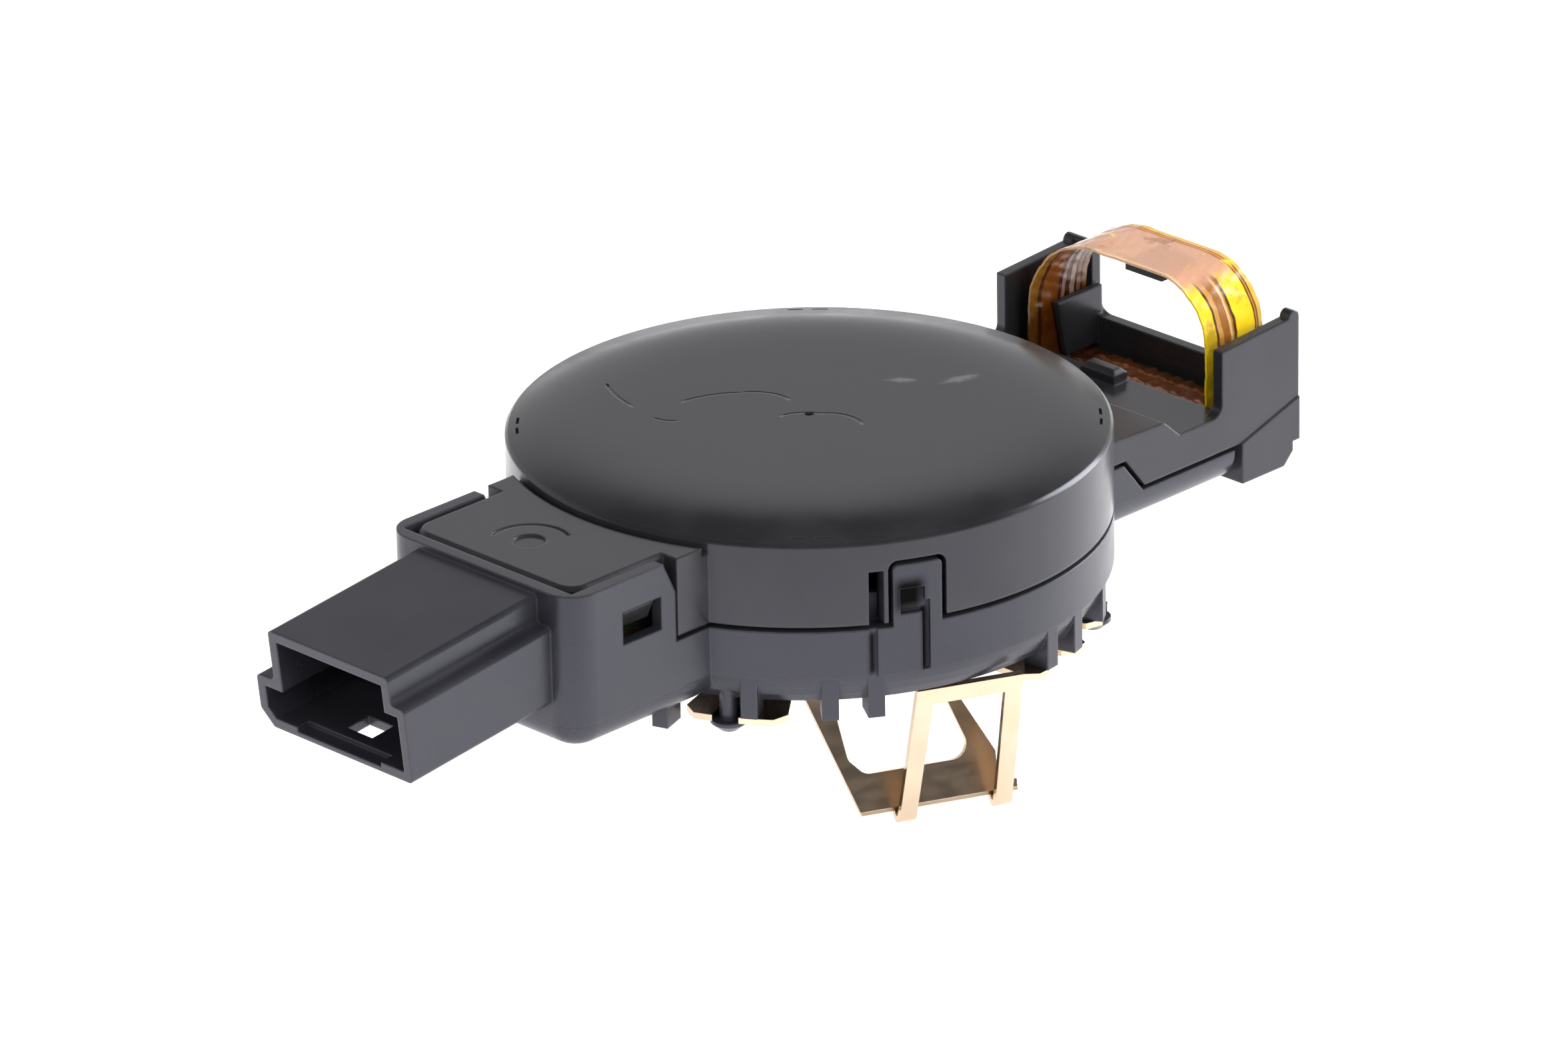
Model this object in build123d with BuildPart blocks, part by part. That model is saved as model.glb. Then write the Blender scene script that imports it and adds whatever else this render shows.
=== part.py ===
from build123d import *
import math
import os

# Rain sensor for a windscreen, in millimetres and degrees
# Frame: origin at the centre of the coupling pad's face, +Z up through the cover,
# +X towards the pocket arm, -X towards the connector

# Round body
puck_radius = 18.0
shell_wall = 1.2
base_depth = 4.9            # base underside to the parting seam
cover_depth = 5.4           # parting seam to the rim edge
crown_rise = 0.55           # rim edge to the top of the dome
crown_flat_radius = 11.0
seam_gap = 0.3
foot_height = 1.7           # rounded foot of the ring, above the underside
foot_inset = 1.0
foot_step = 0.25
foot_arc_radius = 3.7
foot_flats = 3              # flats that follow the arc of the foot
crown_flats = 3             # and of the dome
rim_bevel = 0.22
lip_wall = 0.6              # inner lip that laps behind the cover's skirt
lip_rise = 1.6
lip_clearance = 0.1

# Retaining spring
spring_clearance = 1.3      # coupling face up to the spring's plate
spring_gauge = 0.4
fin_drop = 1.0              # base underside down to the plate
plate_hole_clearance = 1.0  # round the light guide
plate_inset = 4.6           # plate's edge inside the puck's
lobe_overhang = 4.2         # lobes beyond the plate's edge
clip_azimuth = 245.0
clip_drop = 8.1             # plate's top down to the foot of the leaf
clip_leaf_inset = 4.4       # foot of the leaf inside the puck's edge
clip_leaf_lean = 2.0        # how far the leaf's top lies inwards of its foot
clip_frame_lean = 2.0       # how far the frame's top lies outwards of its foot
clip_frame_rise = 8.9
clip_bend_radius = 0.45     # to the middle of the sheet
clip_frame_left = -0.05     # frame edges along the tangent
clip_frame_right = 7.0
clip_frame_taper = 0.45
clip_leg_width = 1.05
clip_bar_width = 1.1
leaf_foot_left = -2.1       # leaf edges along the tangent
leaf_foot_right = 7.7
leaf_shoulder = 6.55
leaf_shoulder_height = 2.6
leaf_skew = 3.1             # sideways shift of the leaf's legs up to the plate
leaf_bar_width = 2.45
leaf_leg_width = 1.35
leaf_lip = 0.7              # height of the wide foot
leaf_window_round = 0.9
leaf_window_splay = 2.0     # height over which the window widens upwards

# Connector block and shroud
block_length = 9.2          # front face from the puck's edge
block_half_width = 7.85
block_drop = 0.4            # block's rim below the puck's rim
block_wall = 0.83
block_corner = 1.9
saddle_length = 0.9         # cover's saddle beyond the puck's edge, where the rim wall begins
rim_wall_slope_length = 0.95    # slanted end of the rim wall
rim_wall_slope_height = 2.0
tray_round = 1.5            # lower edges of the tray
lid_gap = 0.25
lid_thickness = 1.2
shroud_tilt = 6.55
shroud_length = 11.6
shroud_axis_drop = 3.12     # shroud axis below the rim edge, at the block's front
shroud_wall = 0.62
shroud_top = 2.34
shroud_bottom = 4.19
shroud_half_width = 5.0
key_near_width = 6.06       # keying shoulder on the -Y side
key_near_top = 0.6
key_far_width = 6.49        # keying shoulder on the +Y side
key_far_top = -0.95
shroud_edge_round = 0.3
socket_back = 2.2           # shroud root to the socket's end wall
snap_length = 3.1           # snap window in the block's side walls
snap_height = 2.05
snap_from_front = 4.05
snap_below_rim = 1.95
latch_hole_length = 1.7
latch_hole_width = 2.1
latch_hole_from_mouth = 1.65
lead_in_width = 7.0         # channel in the socket floor, at the mouth
lead_in_height = 0.6
lead_in_length = 0.9
shroud_bevel = 1.0          # lower corner on the +Y side

# Terminals
pin_size = 0.64
pin_pitch = 2.54
pin_setback = 5.0           # tips inside the mouth
pin_tail_setback = 4.2      # tails behind the block's front face
pin_tail_below_board = 1.2
carrier_depth = 1.6         # terminal carrier behind the front wall
carrier_side = 1.3          # carrier beyond the outer terminals
carrier_below_lid = 1.15
channel_reach = 2.4         # terminal channels behind the front wall
tail_hole_side = 0.9

# Pocket arm
arm_half_width = 9.4
arm_length = 14.6           # end face from the puck's edge
arm_wall = 0.75
arm_round = 1.9             # lower edges of the lower arm
deck_below_rim = 3.5
deck_fall = 0.35
deck_length = 2.7           # from the puck's edge
step_length = 1.3
step_below_rim = 5.0
wall_overrun = 0.4          # side walls beyond the pocket's edge
wall_below_rim = 0.86
wall_fall = 0.36
bead_radius = 0.45          # bead along the top of the end wall
pocket_length = 5.65
pocket_below_rim = 7.0
end_notch_far_edge = 7.1    # on the +Y side; on the -Y side it reaches the side wall
end_notch_below_rim = 4.8
end_notch_round = 1.0
arm_seam_below_rim = 7.45
arm_seam_root_inset = 0.7   # parting line's slant, from inside the puck's edge
arm_seam_drop_length = 1.65
heel_gap = 0.6              # lower arm's end to the heel
lower_arm_below_rim = 9.7
heel_length = 5.1
heel_below_rim = 9.95
guide_wall_setback = 2.9    # from the pocket's edge
guide_wall_below_rim = 2.9
guide_wall_y = 6.85
guide_wall_lean = 0.8
guide_wall_thickness = 0.5
guide_wall_rise = 0.1
heel_lower_step = 0.6       # steps of the arm's end below its face
heel_lip_height = 1.4
heel_bevel = 0.8
deck_stop_length = 1.2
deck_stop_width = 2.8
deck_stop_height = 0.9
deck_stop_y = 0.0
deck_stop_setback = 0.25    # from the pocket's edge
deck_stop_chamfer = 0.3
heel_pad_rise = 0.1         # raised field on the sides of the arm's end
heel_pad_corner = 4.2       # its corner above the heel's underside

# Flex circuit and its chip
flex_thickness = 0.15
flex_width = 5.0
flex_setback = 0.3          # from the pocket's edge
flex_wall_gap = 1.2         # legs to the arm's side walls
flex_crown_above_rim = 2.5
flex_near_radius = 4.0      # arch's shoulder on the -Y side
flex_far_radius = 5.5
flex_foot_radius = 0.8
flex_tail_width = 5.0
chip_length = 3.0
chip_width = 3.0
chip_thickness = 0.55
chip_past_shoulder = 0.03   # its end past the start of the near shoulder
chip_inset = 0.3            # from the strip's edge
chip_port = 1.0             # square opening over the sensing area
flex_tail_inset = 4.8       # tail's end inside the puck's edge
flex_connector_length = 3.6
flex_connector_side = 1.2   # connector beyond the tail's edges
flex_connector_below = 0.55
slot_clearance = 0.1

# Optics and electronics
pad_inset = 0.5             # pad's edge inside the light guide's
pad_thickness = 0.9
guide_radius = 10.5
guide_flange_width = 1.4
guide_flange_thickness = 0.8
guide_clearance = 0.15
lens_radius = 2.0
lens_height = 0.7
optic_ring_radius = 5.6
lens_angles = [45, 135, 225, 315]
board_side_gap = 1.2        # to the lip
board_thickness = 1.0
board_above_floor = 2.7
tongue_half_width = 4.6
tongue_front_gap = 2.6      # board's tongue to the block's front face
post_side = 2.0
post_inset = 1.5            # post centres inside the board's edge
baffle_wall = 0.7
baffle_half_width = 6.4
baffle_window = 3.6         # square opening in the middle of the cross walls
package_chamfer = 0.15
running_gap = 0.05

# Latch tabs, fins and heat stakes of the base
latch_azimuths = [clip_azimuth, clip_azimuth - 180.0]
tab_width = 3.0
tab_below_rim = 1.7
tab_round = 0.3
slot_width = 0.9
slot_offset = 2.5
slot_below_rim = 1.95
slot_groove_offset = 2.7
tab_groove_offset = 0.5
groove_width = 0.5
groove_depth = 0.35
groove_above_seam = 1.3
hollow_width = 1.5
hollow_height = 1.55
hollow_above_seam = 0.6
hollow_offset = 0.33
fin_azimuths = [212.8, 228.2, 237.0, 277.6, 287.0, 302.5]
fin_thickness = 1.0
fin_inset = 0.3             # fin ends inside the puck's edge
fin_length = 1.7
block_fin_azimuth = 199.0    # the one below the block
block_fin_radius = 20.3
stake_azimuths = [208.0, 306.5]
stake_inset = 1.2
stake_radius = 0.55
stake_head_radius = 1.1
stake_head_height = 0.7
lobe_spans = [(199.0, 220.0), (271.5, 279.5), (285.5, 293.5), (299.5, 313.0)]
lobe_chamfer = 0.8
notch_clearance = 0.25

# Moulding marks of the cover
gate_radius = 0.3
gate_depth = 0.15
tick_angles = [45, 135, 225, 315]
tick_spread = 2.5           # degrees from the pair's middle to each tick
tick_width = 0.18
tick_length = 0.95
tick_inset = 0.75
mark_depth = 0.12
mark_line = 0.2
mark_centre = (-22.7, 0.25)
mark_disc_radius = 0.95
mark_arc_radius = 2.45
mark_arc_start = -28
mark_arc_sweep = 140
saddle_groove_width = 0.45
saddle_groove_depth = 0.5

# Heights above the coupling face
plate_top = spring_clearance + spring_gauge
underside = plate_top + fin_drop
foot = underside + foot_height
floor_top = underside + shell_wall
seam = underside + base_depth
rim = seam + cover_depth
crown = rim + crown_rise
ceiling = rim - shell_wall
inner_radius = puck_radius - shell_wall
block_top = rim - block_drop
lid_underside = block_top - lid_thickness
board_bottom = floor_top + board_above_floor
board_top = board_bottom + board_thickness
deck_root = rim - deck_below_rim
deck_end = deck_root - deck_fall
step_top = rim - step_below_rim
pocket_floor = rim - pocket_below_rim
wall_start_top = rim - wall_below_rim
wall_end_top = wall_start_top + wall_fall
arm_seam = rim - arm_seam_below_rim
arm_bottom = rim - lower_arm_below_rim
heel_bottom = rim - heel_below_rim
arm_inner_half_width = arm_half_width - arm_wall
half_gap = seam_gap / 2
opening_half_width = block_half_width - block_wall
tab_top = rim - tab_below_rim

# Places along the part and round it
block_reach = puck_radius + block_length
saddle_reach = puck_radius + saddle_length
socket_depth = shroud_length - socket_back
pin_tail_x = -block_reach + pin_tail_setback
arm_reach = puck_radius + arm_length
deck_end_x = puck_radius + deck_length
step_x = deck_end_x + step_length
pocket_end_x = arm_reach - arm_wall
pocket_start_x = pocket_end_x - pocket_length
wall_start_x = pocket_start_x - wall_overrun
arm_seam_root_x = puck_radius - arm_seam_root_inset
arm_seam_drop_x = arm_seam_root_x + arm_seam_drop_length
heel_start_x = arm_reach - heel_length
lower_arm_reach = heel_start_x - heel_gap
guide_wall_start_x = pocket_start_x + guide_wall_setback
flex_start_x = pocket_start_x + flex_setback
flex_half_span = arm_inner_half_width - flex_wall_gap
flex_end_x = puck_radius - flex_tail_inset
chip_y = chip_length / 2 - (flex_half_span - flex_near_radius + chip_past_shoulder)
plate_outer_radius = puck_radius - plate_inset
lobe_radius = plate_outer_radius + lobe_overhang
plate_inner_radius = guide_radius + plate_hole_clearance
clip_leaf_foot = puck_radius - clip_leaf_inset
fin_outer_radius = puck_radius - fin_inset
stake_ring_radius = puck_radius - stake_inset
pad_radius = guide_radius - pad_inset
guide_flange_radius = guide_radius + guide_flange_width
board_radius = inner_radius - lip_clearance - lip_wall - board_side_gap
tongue_reach = block_reach - tongue_front_gap
post_ring_radius = board_radius - post_inset


def turned(angle):
    """Unit vector at an angle round the puck, from +X."""
    return Vector(math.cos(math.radians(angle)), math.sin(math.radians(angle)), 0)


def on_circle(radius, angle, height=0.0):
    """Point at a radius, an angle and a height."""
    return turned(angle) * radius + Vector(0, 0, height)


def facing_plane(angle, radius, height):
    """Upright plane that faces outwards at an angle: local x along the tangent, local y up."""
    return Plane(origin=on_circle(radius, angle, height), x_dir=turned(angle + 90), z_dir=turned(angle))


def radial_plane(angle, origin=(0, 0, 0)):
    """Upright plane along a radius: local x outwards, local y up."""
    return Plane(origin=origin, x_dir=turned(angle), z_dir=-turned(angle + 90))


def half_turn(angles):
    """The angles and the same ones half a turn on."""
    return angles + [angle - 180.0 for angle in angles]


# Shroud frame: local x towards -Y, local y up across the socket, normal out of the mouth
tilt = math.radians(shroud_tilt)
shroud_out = Vector(-math.cos(tilt), 0, -math.sin(tilt))
shroud_root = Vector(-block_reach, 0, rim - shroud_axis_drop)
mouth_plane = Plane(origin=shroud_root + shroud_out * shroud_length, x_dir=(0, -1, 0), z_dir=shroud_out)
shroud_outline = [
    (-shroud_half_width, shroud_top),
    (shroud_half_width, shroud_top),
    (shroud_half_width, key_near_top),
    (key_near_width, key_near_top),
    (key_near_width, -shroud_bottom),
    (-key_far_width + shroud_bevel, -shroud_bottom),
    (-key_far_width, -shroud_bottom + shroud_bevel),
    (-key_far_width, key_far_top),
    (-shroud_half_width, key_far_top),
]
socket_centre = (shroud_top - shroud_bottom) / 2

# Tray under the connector block, rounded below the foot line
with BuildPart() as block_tray:
    with BuildSketch(Plane.XY.offset(underside)):
        with Locations((-block_reach / 2 - puck_radius / 4 + foot_step / 2, 0)):
            Rectangle(block_reach - puck_radius / 2 - foot_step, 2 * (block_half_width - foot_step))
    extrude(amount=foot - underside)
    fillet(block_tray.edges().filter_by(Axis.Z).group_by(Axis.X)[0], block_corner)
    fillet(block_tray.faces().sort_by(Axis.Z)[0].edges().group_by(Axis.X)[:-1], tray_round)

# Lower half of the arm, with its stepped parting line
with BuildPart() as lower_arm:
    with BuildSketch(Plane.XZ):
        with BuildLine():
            Polyline(
                (puck_radius / 2, arm_bottom),
                (lower_arm_reach, arm_bottom),
                (lower_arm_reach, arm_seam - half_gap),
                (arm_seam_drop_x - half_gap, arm_seam - half_gap),
                (arm_seam_root_x - half_gap, seam - half_gap),
                (puck_radius / 2, seam - half_gap),
                close=True,
            )
        make_face()
    extrude(amount=arm_half_width, both=True)
    fillet(lower_arm.faces().sort_by(Axis.Z)[0].edges().filter_by(Axis.X), arm_round)

# Latch tabs, cut from the ring's own wall, with round upper corners
latch_tabs = []
for latch_angle in latch_azimuths:
    with BuildPart() as latch_tab:
        with BuildSketch(facing_plane(latch_angle, 0, 0)):
            with Locations((0, (tab_top + foot) / 2)):
                RectangleRounded(tab_width, tab_top - foot, tab_round)
        extrude(amount=2 * puck_radius)
        with BuildSketch(Plane.XY):
            Circle(puck_radius)
            Circle(inner_radius, mode=Mode.SUBTRACT)
        extrude(amount=rim, mode=Mode.INTERSECT)
    latch_tabs.append(latch_tab.part)

# Base housing: ring, connector block, keyed shroud, lower arm, latch tabs, fins and stakes
with BuildPart() as base_housing:
    # ring and floor, turned about the axis
    with BuildSketch(Plane.XZ):
        with BuildLine():
            Polyline(
                (puck_radius - foot_inset, underside),
                (0, underside),
                (0, seam - half_gap),
                (puck_radius, seam - half_gap),
                (puck_radius, foot),
                (puck_radius - foot_step, foot),
            )
            foot_arc = RadiusArc(
                (puck_radius - foot_step, foot),
                (puck_radius - foot_inset, underside),
                foot_arc_radius,
                mode=Mode.PRIVATE,
            )
            Polyline(*[foot_arc @ (step / foot_flats) for step in range(foot_flats + 1)])
        make_face()
    revolve(axis=Axis.Z)

    # connector block above its foot line, the tray below it and the lower arm
    with BuildSketch(Plane.XY.offset(foot)):
        with Locations((-block_reach / 2 - puck_radius / 4, 0)):
            Rectangle(block_reach - puck_radius / 2, 2 * block_half_width)
    extrude(amount=block_top - foot)
    fillet(base_housing.edges().filter_by(Axis.Z).group_by(Axis.X)[0], block_corner)
    add(block_tray.part)
    add(lower_arm.part)

    # shroud body with soft edges, sunk into the block's front wall
    with BuildSketch(mouth_plane) as shroud_section:
        with BuildLine():
            Polyline(*shroud_outline, close=True)
        make_face()
        fillet(shroud_section.vertices(), shroud_edge_round)
    extrude(amount=-(shroud_length + block_wall))

    # hole for the light guide
    with BuildSketch(Plane.XY):
        Circle(guide_radius + guide_clearance)
    extrude(amount=floor_top, mode=Mode.SUBTRACT)

    # open interior of ring, block and arm
    with BuildSketch(Plane.XY.offset(floor_top)):
        Circle(inner_radius)
    extrude(amount=seam - floor_top, mode=Mode.SUBTRACT)
    with BuildSketch(Plane.XY.offset(floor_top)):
        with Locations((-(block_reach - block_wall) / 2 - puck_radius / 4, 0)):
            Rectangle(block_reach - block_wall - puck_radius / 2, 2 * opening_half_width)
    extrude(amount=rim - floor_top, mode=Mode.SUBTRACT)
    with BuildSketch(Plane.XY.offset(max(floor_top, arm_bottom + shell_wall))):
        with Locations((lower_arm_reach / 2 + puck_radius / 4 - arm_wall / 2, 0)):
            Rectangle(lower_arm_reach - puck_radius / 2 - arm_wall, 2 * arm_inner_half_width)
    extrude(amount=rim, mode=Mode.SUBTRACT)

    # room for the cover's saddle behind the rim wall
    with BuildSketch(Plane.XY.offset(seam - half_gap)):
        with Locations((-saddle_reach / 2, 0)):
            Rectangle(saddle_reach, 2 * puck_radius)
    extrude(amount=rim, mode=Mode.SUBTRACT)
    with BuildSketch(Plane.XZ):
        with BuildLine():
            Polyline(
                (-saddle_reach, block_top - rim_wall_slope_height),
                (-saddle_reach - rim_wall_slope_length, block_top),
                (-saddle_reach, block_top),
                close=True,
            )
        make_face()
    extrude(amount=block_half_width, both=True, mode=Mode.SUBTRACT)

    # keyed socket of the shroud
    with BuildSketch(mouth_plane):
        with BuildLine():
            Polyline(*shroud_outline, close=True)
        make_face()
        offset(amount=-shroud_wall, kind=Kind.INTERSECTION, mode=Mode.REPLACE)
    extrude(amount=-socket_depth, mode=Mode.SUBTRACT)

    # shallow lead-in channel and latch hole in the socket's floor
    with BuildSketch(mouth_plane):
        with Locations((0, -shroud_bottom + shroud_wall)):
            Rectangle(lead_in_width, lead_in_height)
    extrude(amount=-lead_in_length, mode=Mode.SUBTRACT)
    latch_hole_middle = -latch_hole_from_mouth - latch_hole_length / 2
    latch_hole_plane = Plane(
        origin=mouth_plane.from_local_coords((0, -shroud_bottom, latch_hole_middle)),
        x_dir=(0, 1, 0),
        z_dir=mouth_plane.y_dir,
    )
    with BuildSketch(latch_hole_plane):
        Rectangle(latch_hole_width, latch_hole_length)
    extrude(amount=2 * shroud_wall, both=True, mode=Mode.SUBTRACT)

    # snap windows in the block's side walls
    with BuildSketch(Plane.XZ):
        with Locations((
            -block_reach + snap_from_front + snap_length / 2,
            block_top - snap_below_rim - snap_height / 2,
        )):
            Rectangle(snap_length, snap_height)
    extrude(amount=2 * block_half_width, both=True, mode=Mode.SUBTRACT)

    # lip that laps behind the cover's skirt, clear of the block and the arm
    with BuildSketch(Plane.XY.offset(floor_top)):
        Circle(inner_radius - lip_clearance)
        Circle(inner_radius - lip_clearance - lip_wall, mode=Mode.SUBTRACT)
        Rectangle(3 * puck_radius, 2 * arm_half_width, mode=Mode.SUBTRACT)
    extrude(amount=seam + lip_rise - floor_top)
    with BuildSketch(Plane.XY.offset(floor_top)):
        Circle(inner_radius)
        Circle(inner_radius - lip_clearance - lip_wall, mode=Mode.SUBTRACT)
        Rectangle(3 * puck_radius, 2 * arm_half_width, mode=Mode.SUBTRACT)
    extrude(amount=seam - half_gap - floor_top)

    # latch tabs that rise into the skirt, each with a hollow and a groove beside it
    add(latch_tabs)
    for latch_angle in latch_azimuths:
        with BuildSketch(facing_plane(latch_angle, puck_radius, 0)):
            with Locations((-hollow_offset, seam + hollow_above_seam + hollow_height / 2)):
                Rectangle(hollow_width, hollow_height)
            with Locations((tab_groove_offset, (seam + foot + groove_above_seam) / 2)):
                Rectangle(groove_width, seam + groove_above_seam - foot)
            with Locations((-slot_groove_offset, (seam + foot) / 2)):
                Rectangle(groove_width, seam - foot)
        extrude(amount=-groove_depth, mode=Mode.SUBTRACT)

    # posts under the circuit board
    with BuildSketch(Plane.XY.offset(floor_top)):
        with PolarLocations(post_ring_radius, 4, start_angle=45):
            Rectangle(post_side, post_side)
    extrude(amount=board_above_floor)

    # carrier that holds the terminals behind the block's front wall
    with BuildSketch(Plane.XY.offset(board_top + running_gap)):
        with Locations((-block_reach + block_wall + carrier_depth / 2, 0)):
            Rectangle(carrier_depth, 2 * (pin_pitch + carrier_side))
    extrude(amount=lid_underside - board_top - carrier_below_lid)

    # channels that hold the terminals
    with BuildSketch(mouth_plane):
        with GridLocations(pin_pitch, 1, 3, 1):
            with Locations((0, socket_centre)):
                Rectangle(pin_size + 2 * running_gap, pin_size + 2 * running_gap)
    extrude(amount=-(shroud_length + block_wall + channel_reach), mode=Mode.SUBTRACT)

    # fins that stand the spring plate off, below the ring and the block
    fin_places = [(fin_angle, fin_outer_radius) for fin_angle in half_turn(fin_azimuths)]
    fin_places += [(fin_angle, block_fin_radius) for fin_angle in half_turn([block_fin_azimuth])]
    for fin_angle, fin_reach in fin_places:
        with BuildSketch(Plane.XY.offset(plate_top)):
            with PolarLocations(fin_reach - fin_length / 2, 1, start_angle=fin_angle):
                Rectangle(fin_length, fin_thickness)
        extrude(amount=foot - plate_top)

    # heat stakes with their formed heads
    head_base = spring_clearance
    head_tip = spring_clearance - stake_head_height
    for stake_angle in half_turn(stake_azimuths):
        with BuildSketch(radial_plane(stake_angle)):
            with BuildLine():
                Polyline(
                    (stake_ring_radius, head_tip),
                    (stake_ring_radius, foot),
                    (stake_ring_radius + stake_radius, foot),
                    (stake_ring_radius + stake_radius, head_base),
                    (stake_ring_radius + stake_head_radius, head_base),
                    (stake_ring_radius + stake_head_radius, head_base - stake_head_height / 3),
                    (stake_ring_radius + stake_head_radius / 2, head_tip),
                    close=True,
                )
            make_face()
        revolve(axis=Axis(on_circle(stake_ring_radius, stake_angle), (0, 0, 1)))
base_housing.part.label = "base_housing"

# Lid over the connector block, with soft edges
lid_front = block_reach - block_wall - lid_gap
lid_half_width = opening_half_width - lid_gap
with BuildPart() as connector_lid:
    with BuildSketch(Plane.XY.offset(lid_underside)):
        with Locations((-lid_front / 2 - puck_radius / 4, 0)):
            Rectangle(lid_front - puck_radius / 2, 2 * lid_half_width)
    extrude(amount=lid_thickness)
    fillet(connector_lid.edges().filter_by(Axis.Z).group_by(Axis.X)[0], block_corner - block_wall + lid_gap)
    chamfer(connector_lid.faces().sort_by(Axis.Z)[-1].edges().group_by(Axis.X)[:-1], lid_thickness / 5)

# Pocket arm: deck, two upright walls, end wall and heel
arm_root = puck_radius / 2
heel_side = arm_reach - heel_lower_step
stop_centre = (pocket_start_x - deck_stop_setback - deck_stop_length / 2, deck_stop_y)
with BuildPart() as pocket_arm:
    with BuildSketch(Plane.XZ):
        with BuildLine():
            Polyline(
                (arm_root, deck_root),
                (deck_end_x, deck_end),
                (step_x, step_top),
                (wall_start_x, step_top),
                (wall_start_x, wall_start_top),
                (arm_reach - 2 * bead_radius, wall_end_top),
                (arm_reach, wall_end_top),
                (arm_reach, heel_bottom + heel_lip_height),
                (heel_side, heel_bottom + heel_lip_height),
                (heel_side, heel_bottom + heel_bevel),
                (heel_side - heel_bevel, heel_bottom),
                (heel_start_x, heel_bottom),
                (heel_start_x, arm_seam + half_gap),
                (arm_seam_drop_x, arm_seam + half_gap),
                (arm_seam_root_x, seam + half_gap),
                (arm_root, seam + half_gap),
                close=True,
            )
        make_face()
    extrude(amount=arm_half_width, both=True)
    corner = pocket_arm.edges().filter_by(Axis.Y).sort_by_distance((wall_start_x, 0, step_top))[0]
    fillet(corner, 1.2 * arm_wall)
    with BuildSketch(Plane.XZ):
        with Locations((arm_reach - bead_radius, wall_end_top)):
            Circle(bead_radius)
    extrude(amount=arm_half_width, both=True)

    # raised field on both sides of the arm's end, bounded by a slanting edge
    with BuildSketch(Plane.XZ):
        with BuildLine():
            Polyline(
                (heel_start_x, heel_bottom),
                (heel_start_x, arm_seam + half_gap),
                (arm_reach, heel_bottom + heel_pad_corner),
                (arm_reach, heel_bottom + heel_lip_height),
                (heel_side, heel_bottom + heel_lip_height),
                (heel_side, heel_bottom + heel_bevel),
                (heel_side - heel_bevel, heel_bottom),
                close=True,
            )
        make_face()
    extrude(amount=arm_half_width + heel_pad_rise, both=True)

    # room between the walls, and the pocket floor below the deck
    with BuildSketch(Plane.XY.offset(step_top)):
        with Locations(((step_x + pocket_end_x) / 2, 0)):
            Rectangle(pocket_end_x - step_x, 2 * arm_inner_half_width)
    extrude(amount=rim, mode=Mode.SUBTRACT)
    with BuildSketch(Plane.XY.offset(pocket_floor)):
        with Locations(((pocket_start_x + pocket_end_x) / 2, 0)):
            Rectangle(pocket_end_x - pocket_start_x, 2 * arm_inner_half_width)
    extrude(amount=rim, mode=Mode.SUBTRACT)

    # notch in the end wall, with rounded lower corners
    notch_floor = rim - end_notch_below_rim
    notch_width = arm_inner_half_width + end_notch_far_edge
    with BuildSketch(Plane.YZ.offset(pocket_end_x - arm_wall)):
        with Locations((end_notch_far_edge - notch_width / 2, notch_floor + rim / 2)):
            RectangleRounded(notch_width, rim, end_notch_round)
    extrude(amount=3 * arm_wall, mode=Mode.SUBTRACT)

    # hollow heel, open below
    with BuildSketch(Plane.XY.offset(heel_bottom)):
        with Locations(((heel_start_x + heel_side) / 2, 0)):
            Rectangle(heel_side - heel_start_x - 2 * arm_wall, 2 * arm_inner_half_width)
    extrude(amount=pocket_floor - arm_wall - heel_bottom, mode=Mode.SUBTRACT)

    # guide wall for the flex circuit, carried by the end wall, and a stop on the deck
    with BuildSketch(Plane.XZ.offset(-guide_wall_y)):
        with BuildLine():
            Polyline(
                (guide_wall_start_x, pocket_floor + 3 * flex_thickness),
                (guide_wall_start_x - guide_wall_lean, rim - guide_wall_below_rim),
                (pocket_end_x + arm_wall / 2, rim - guide_wall_below_rim + guide_wall_rise),
                (pocket_end_x + arm_wall / 2, pocket_floor + 3 * flex_thickness),
                close=True,
            )
        make_face()
    extrude(amount=guide_wall_thickness / 2, both=True)
    with BuildSketch(Plane.XY.offset(step_top)):
        with Locations(stop_centre):
            Rectangle(deck_stop_length, deck_stop_width)
    extrude(amount=deck_stop_height)
    stop_tip = (*stop_centre, step_top + deck_stop_height)
    chamfer(pocket_arm.faces().filter_by(Axis.Z).sort_by_distance(stop_tip)[0].edges(), deck_stop_chamfer)

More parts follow.
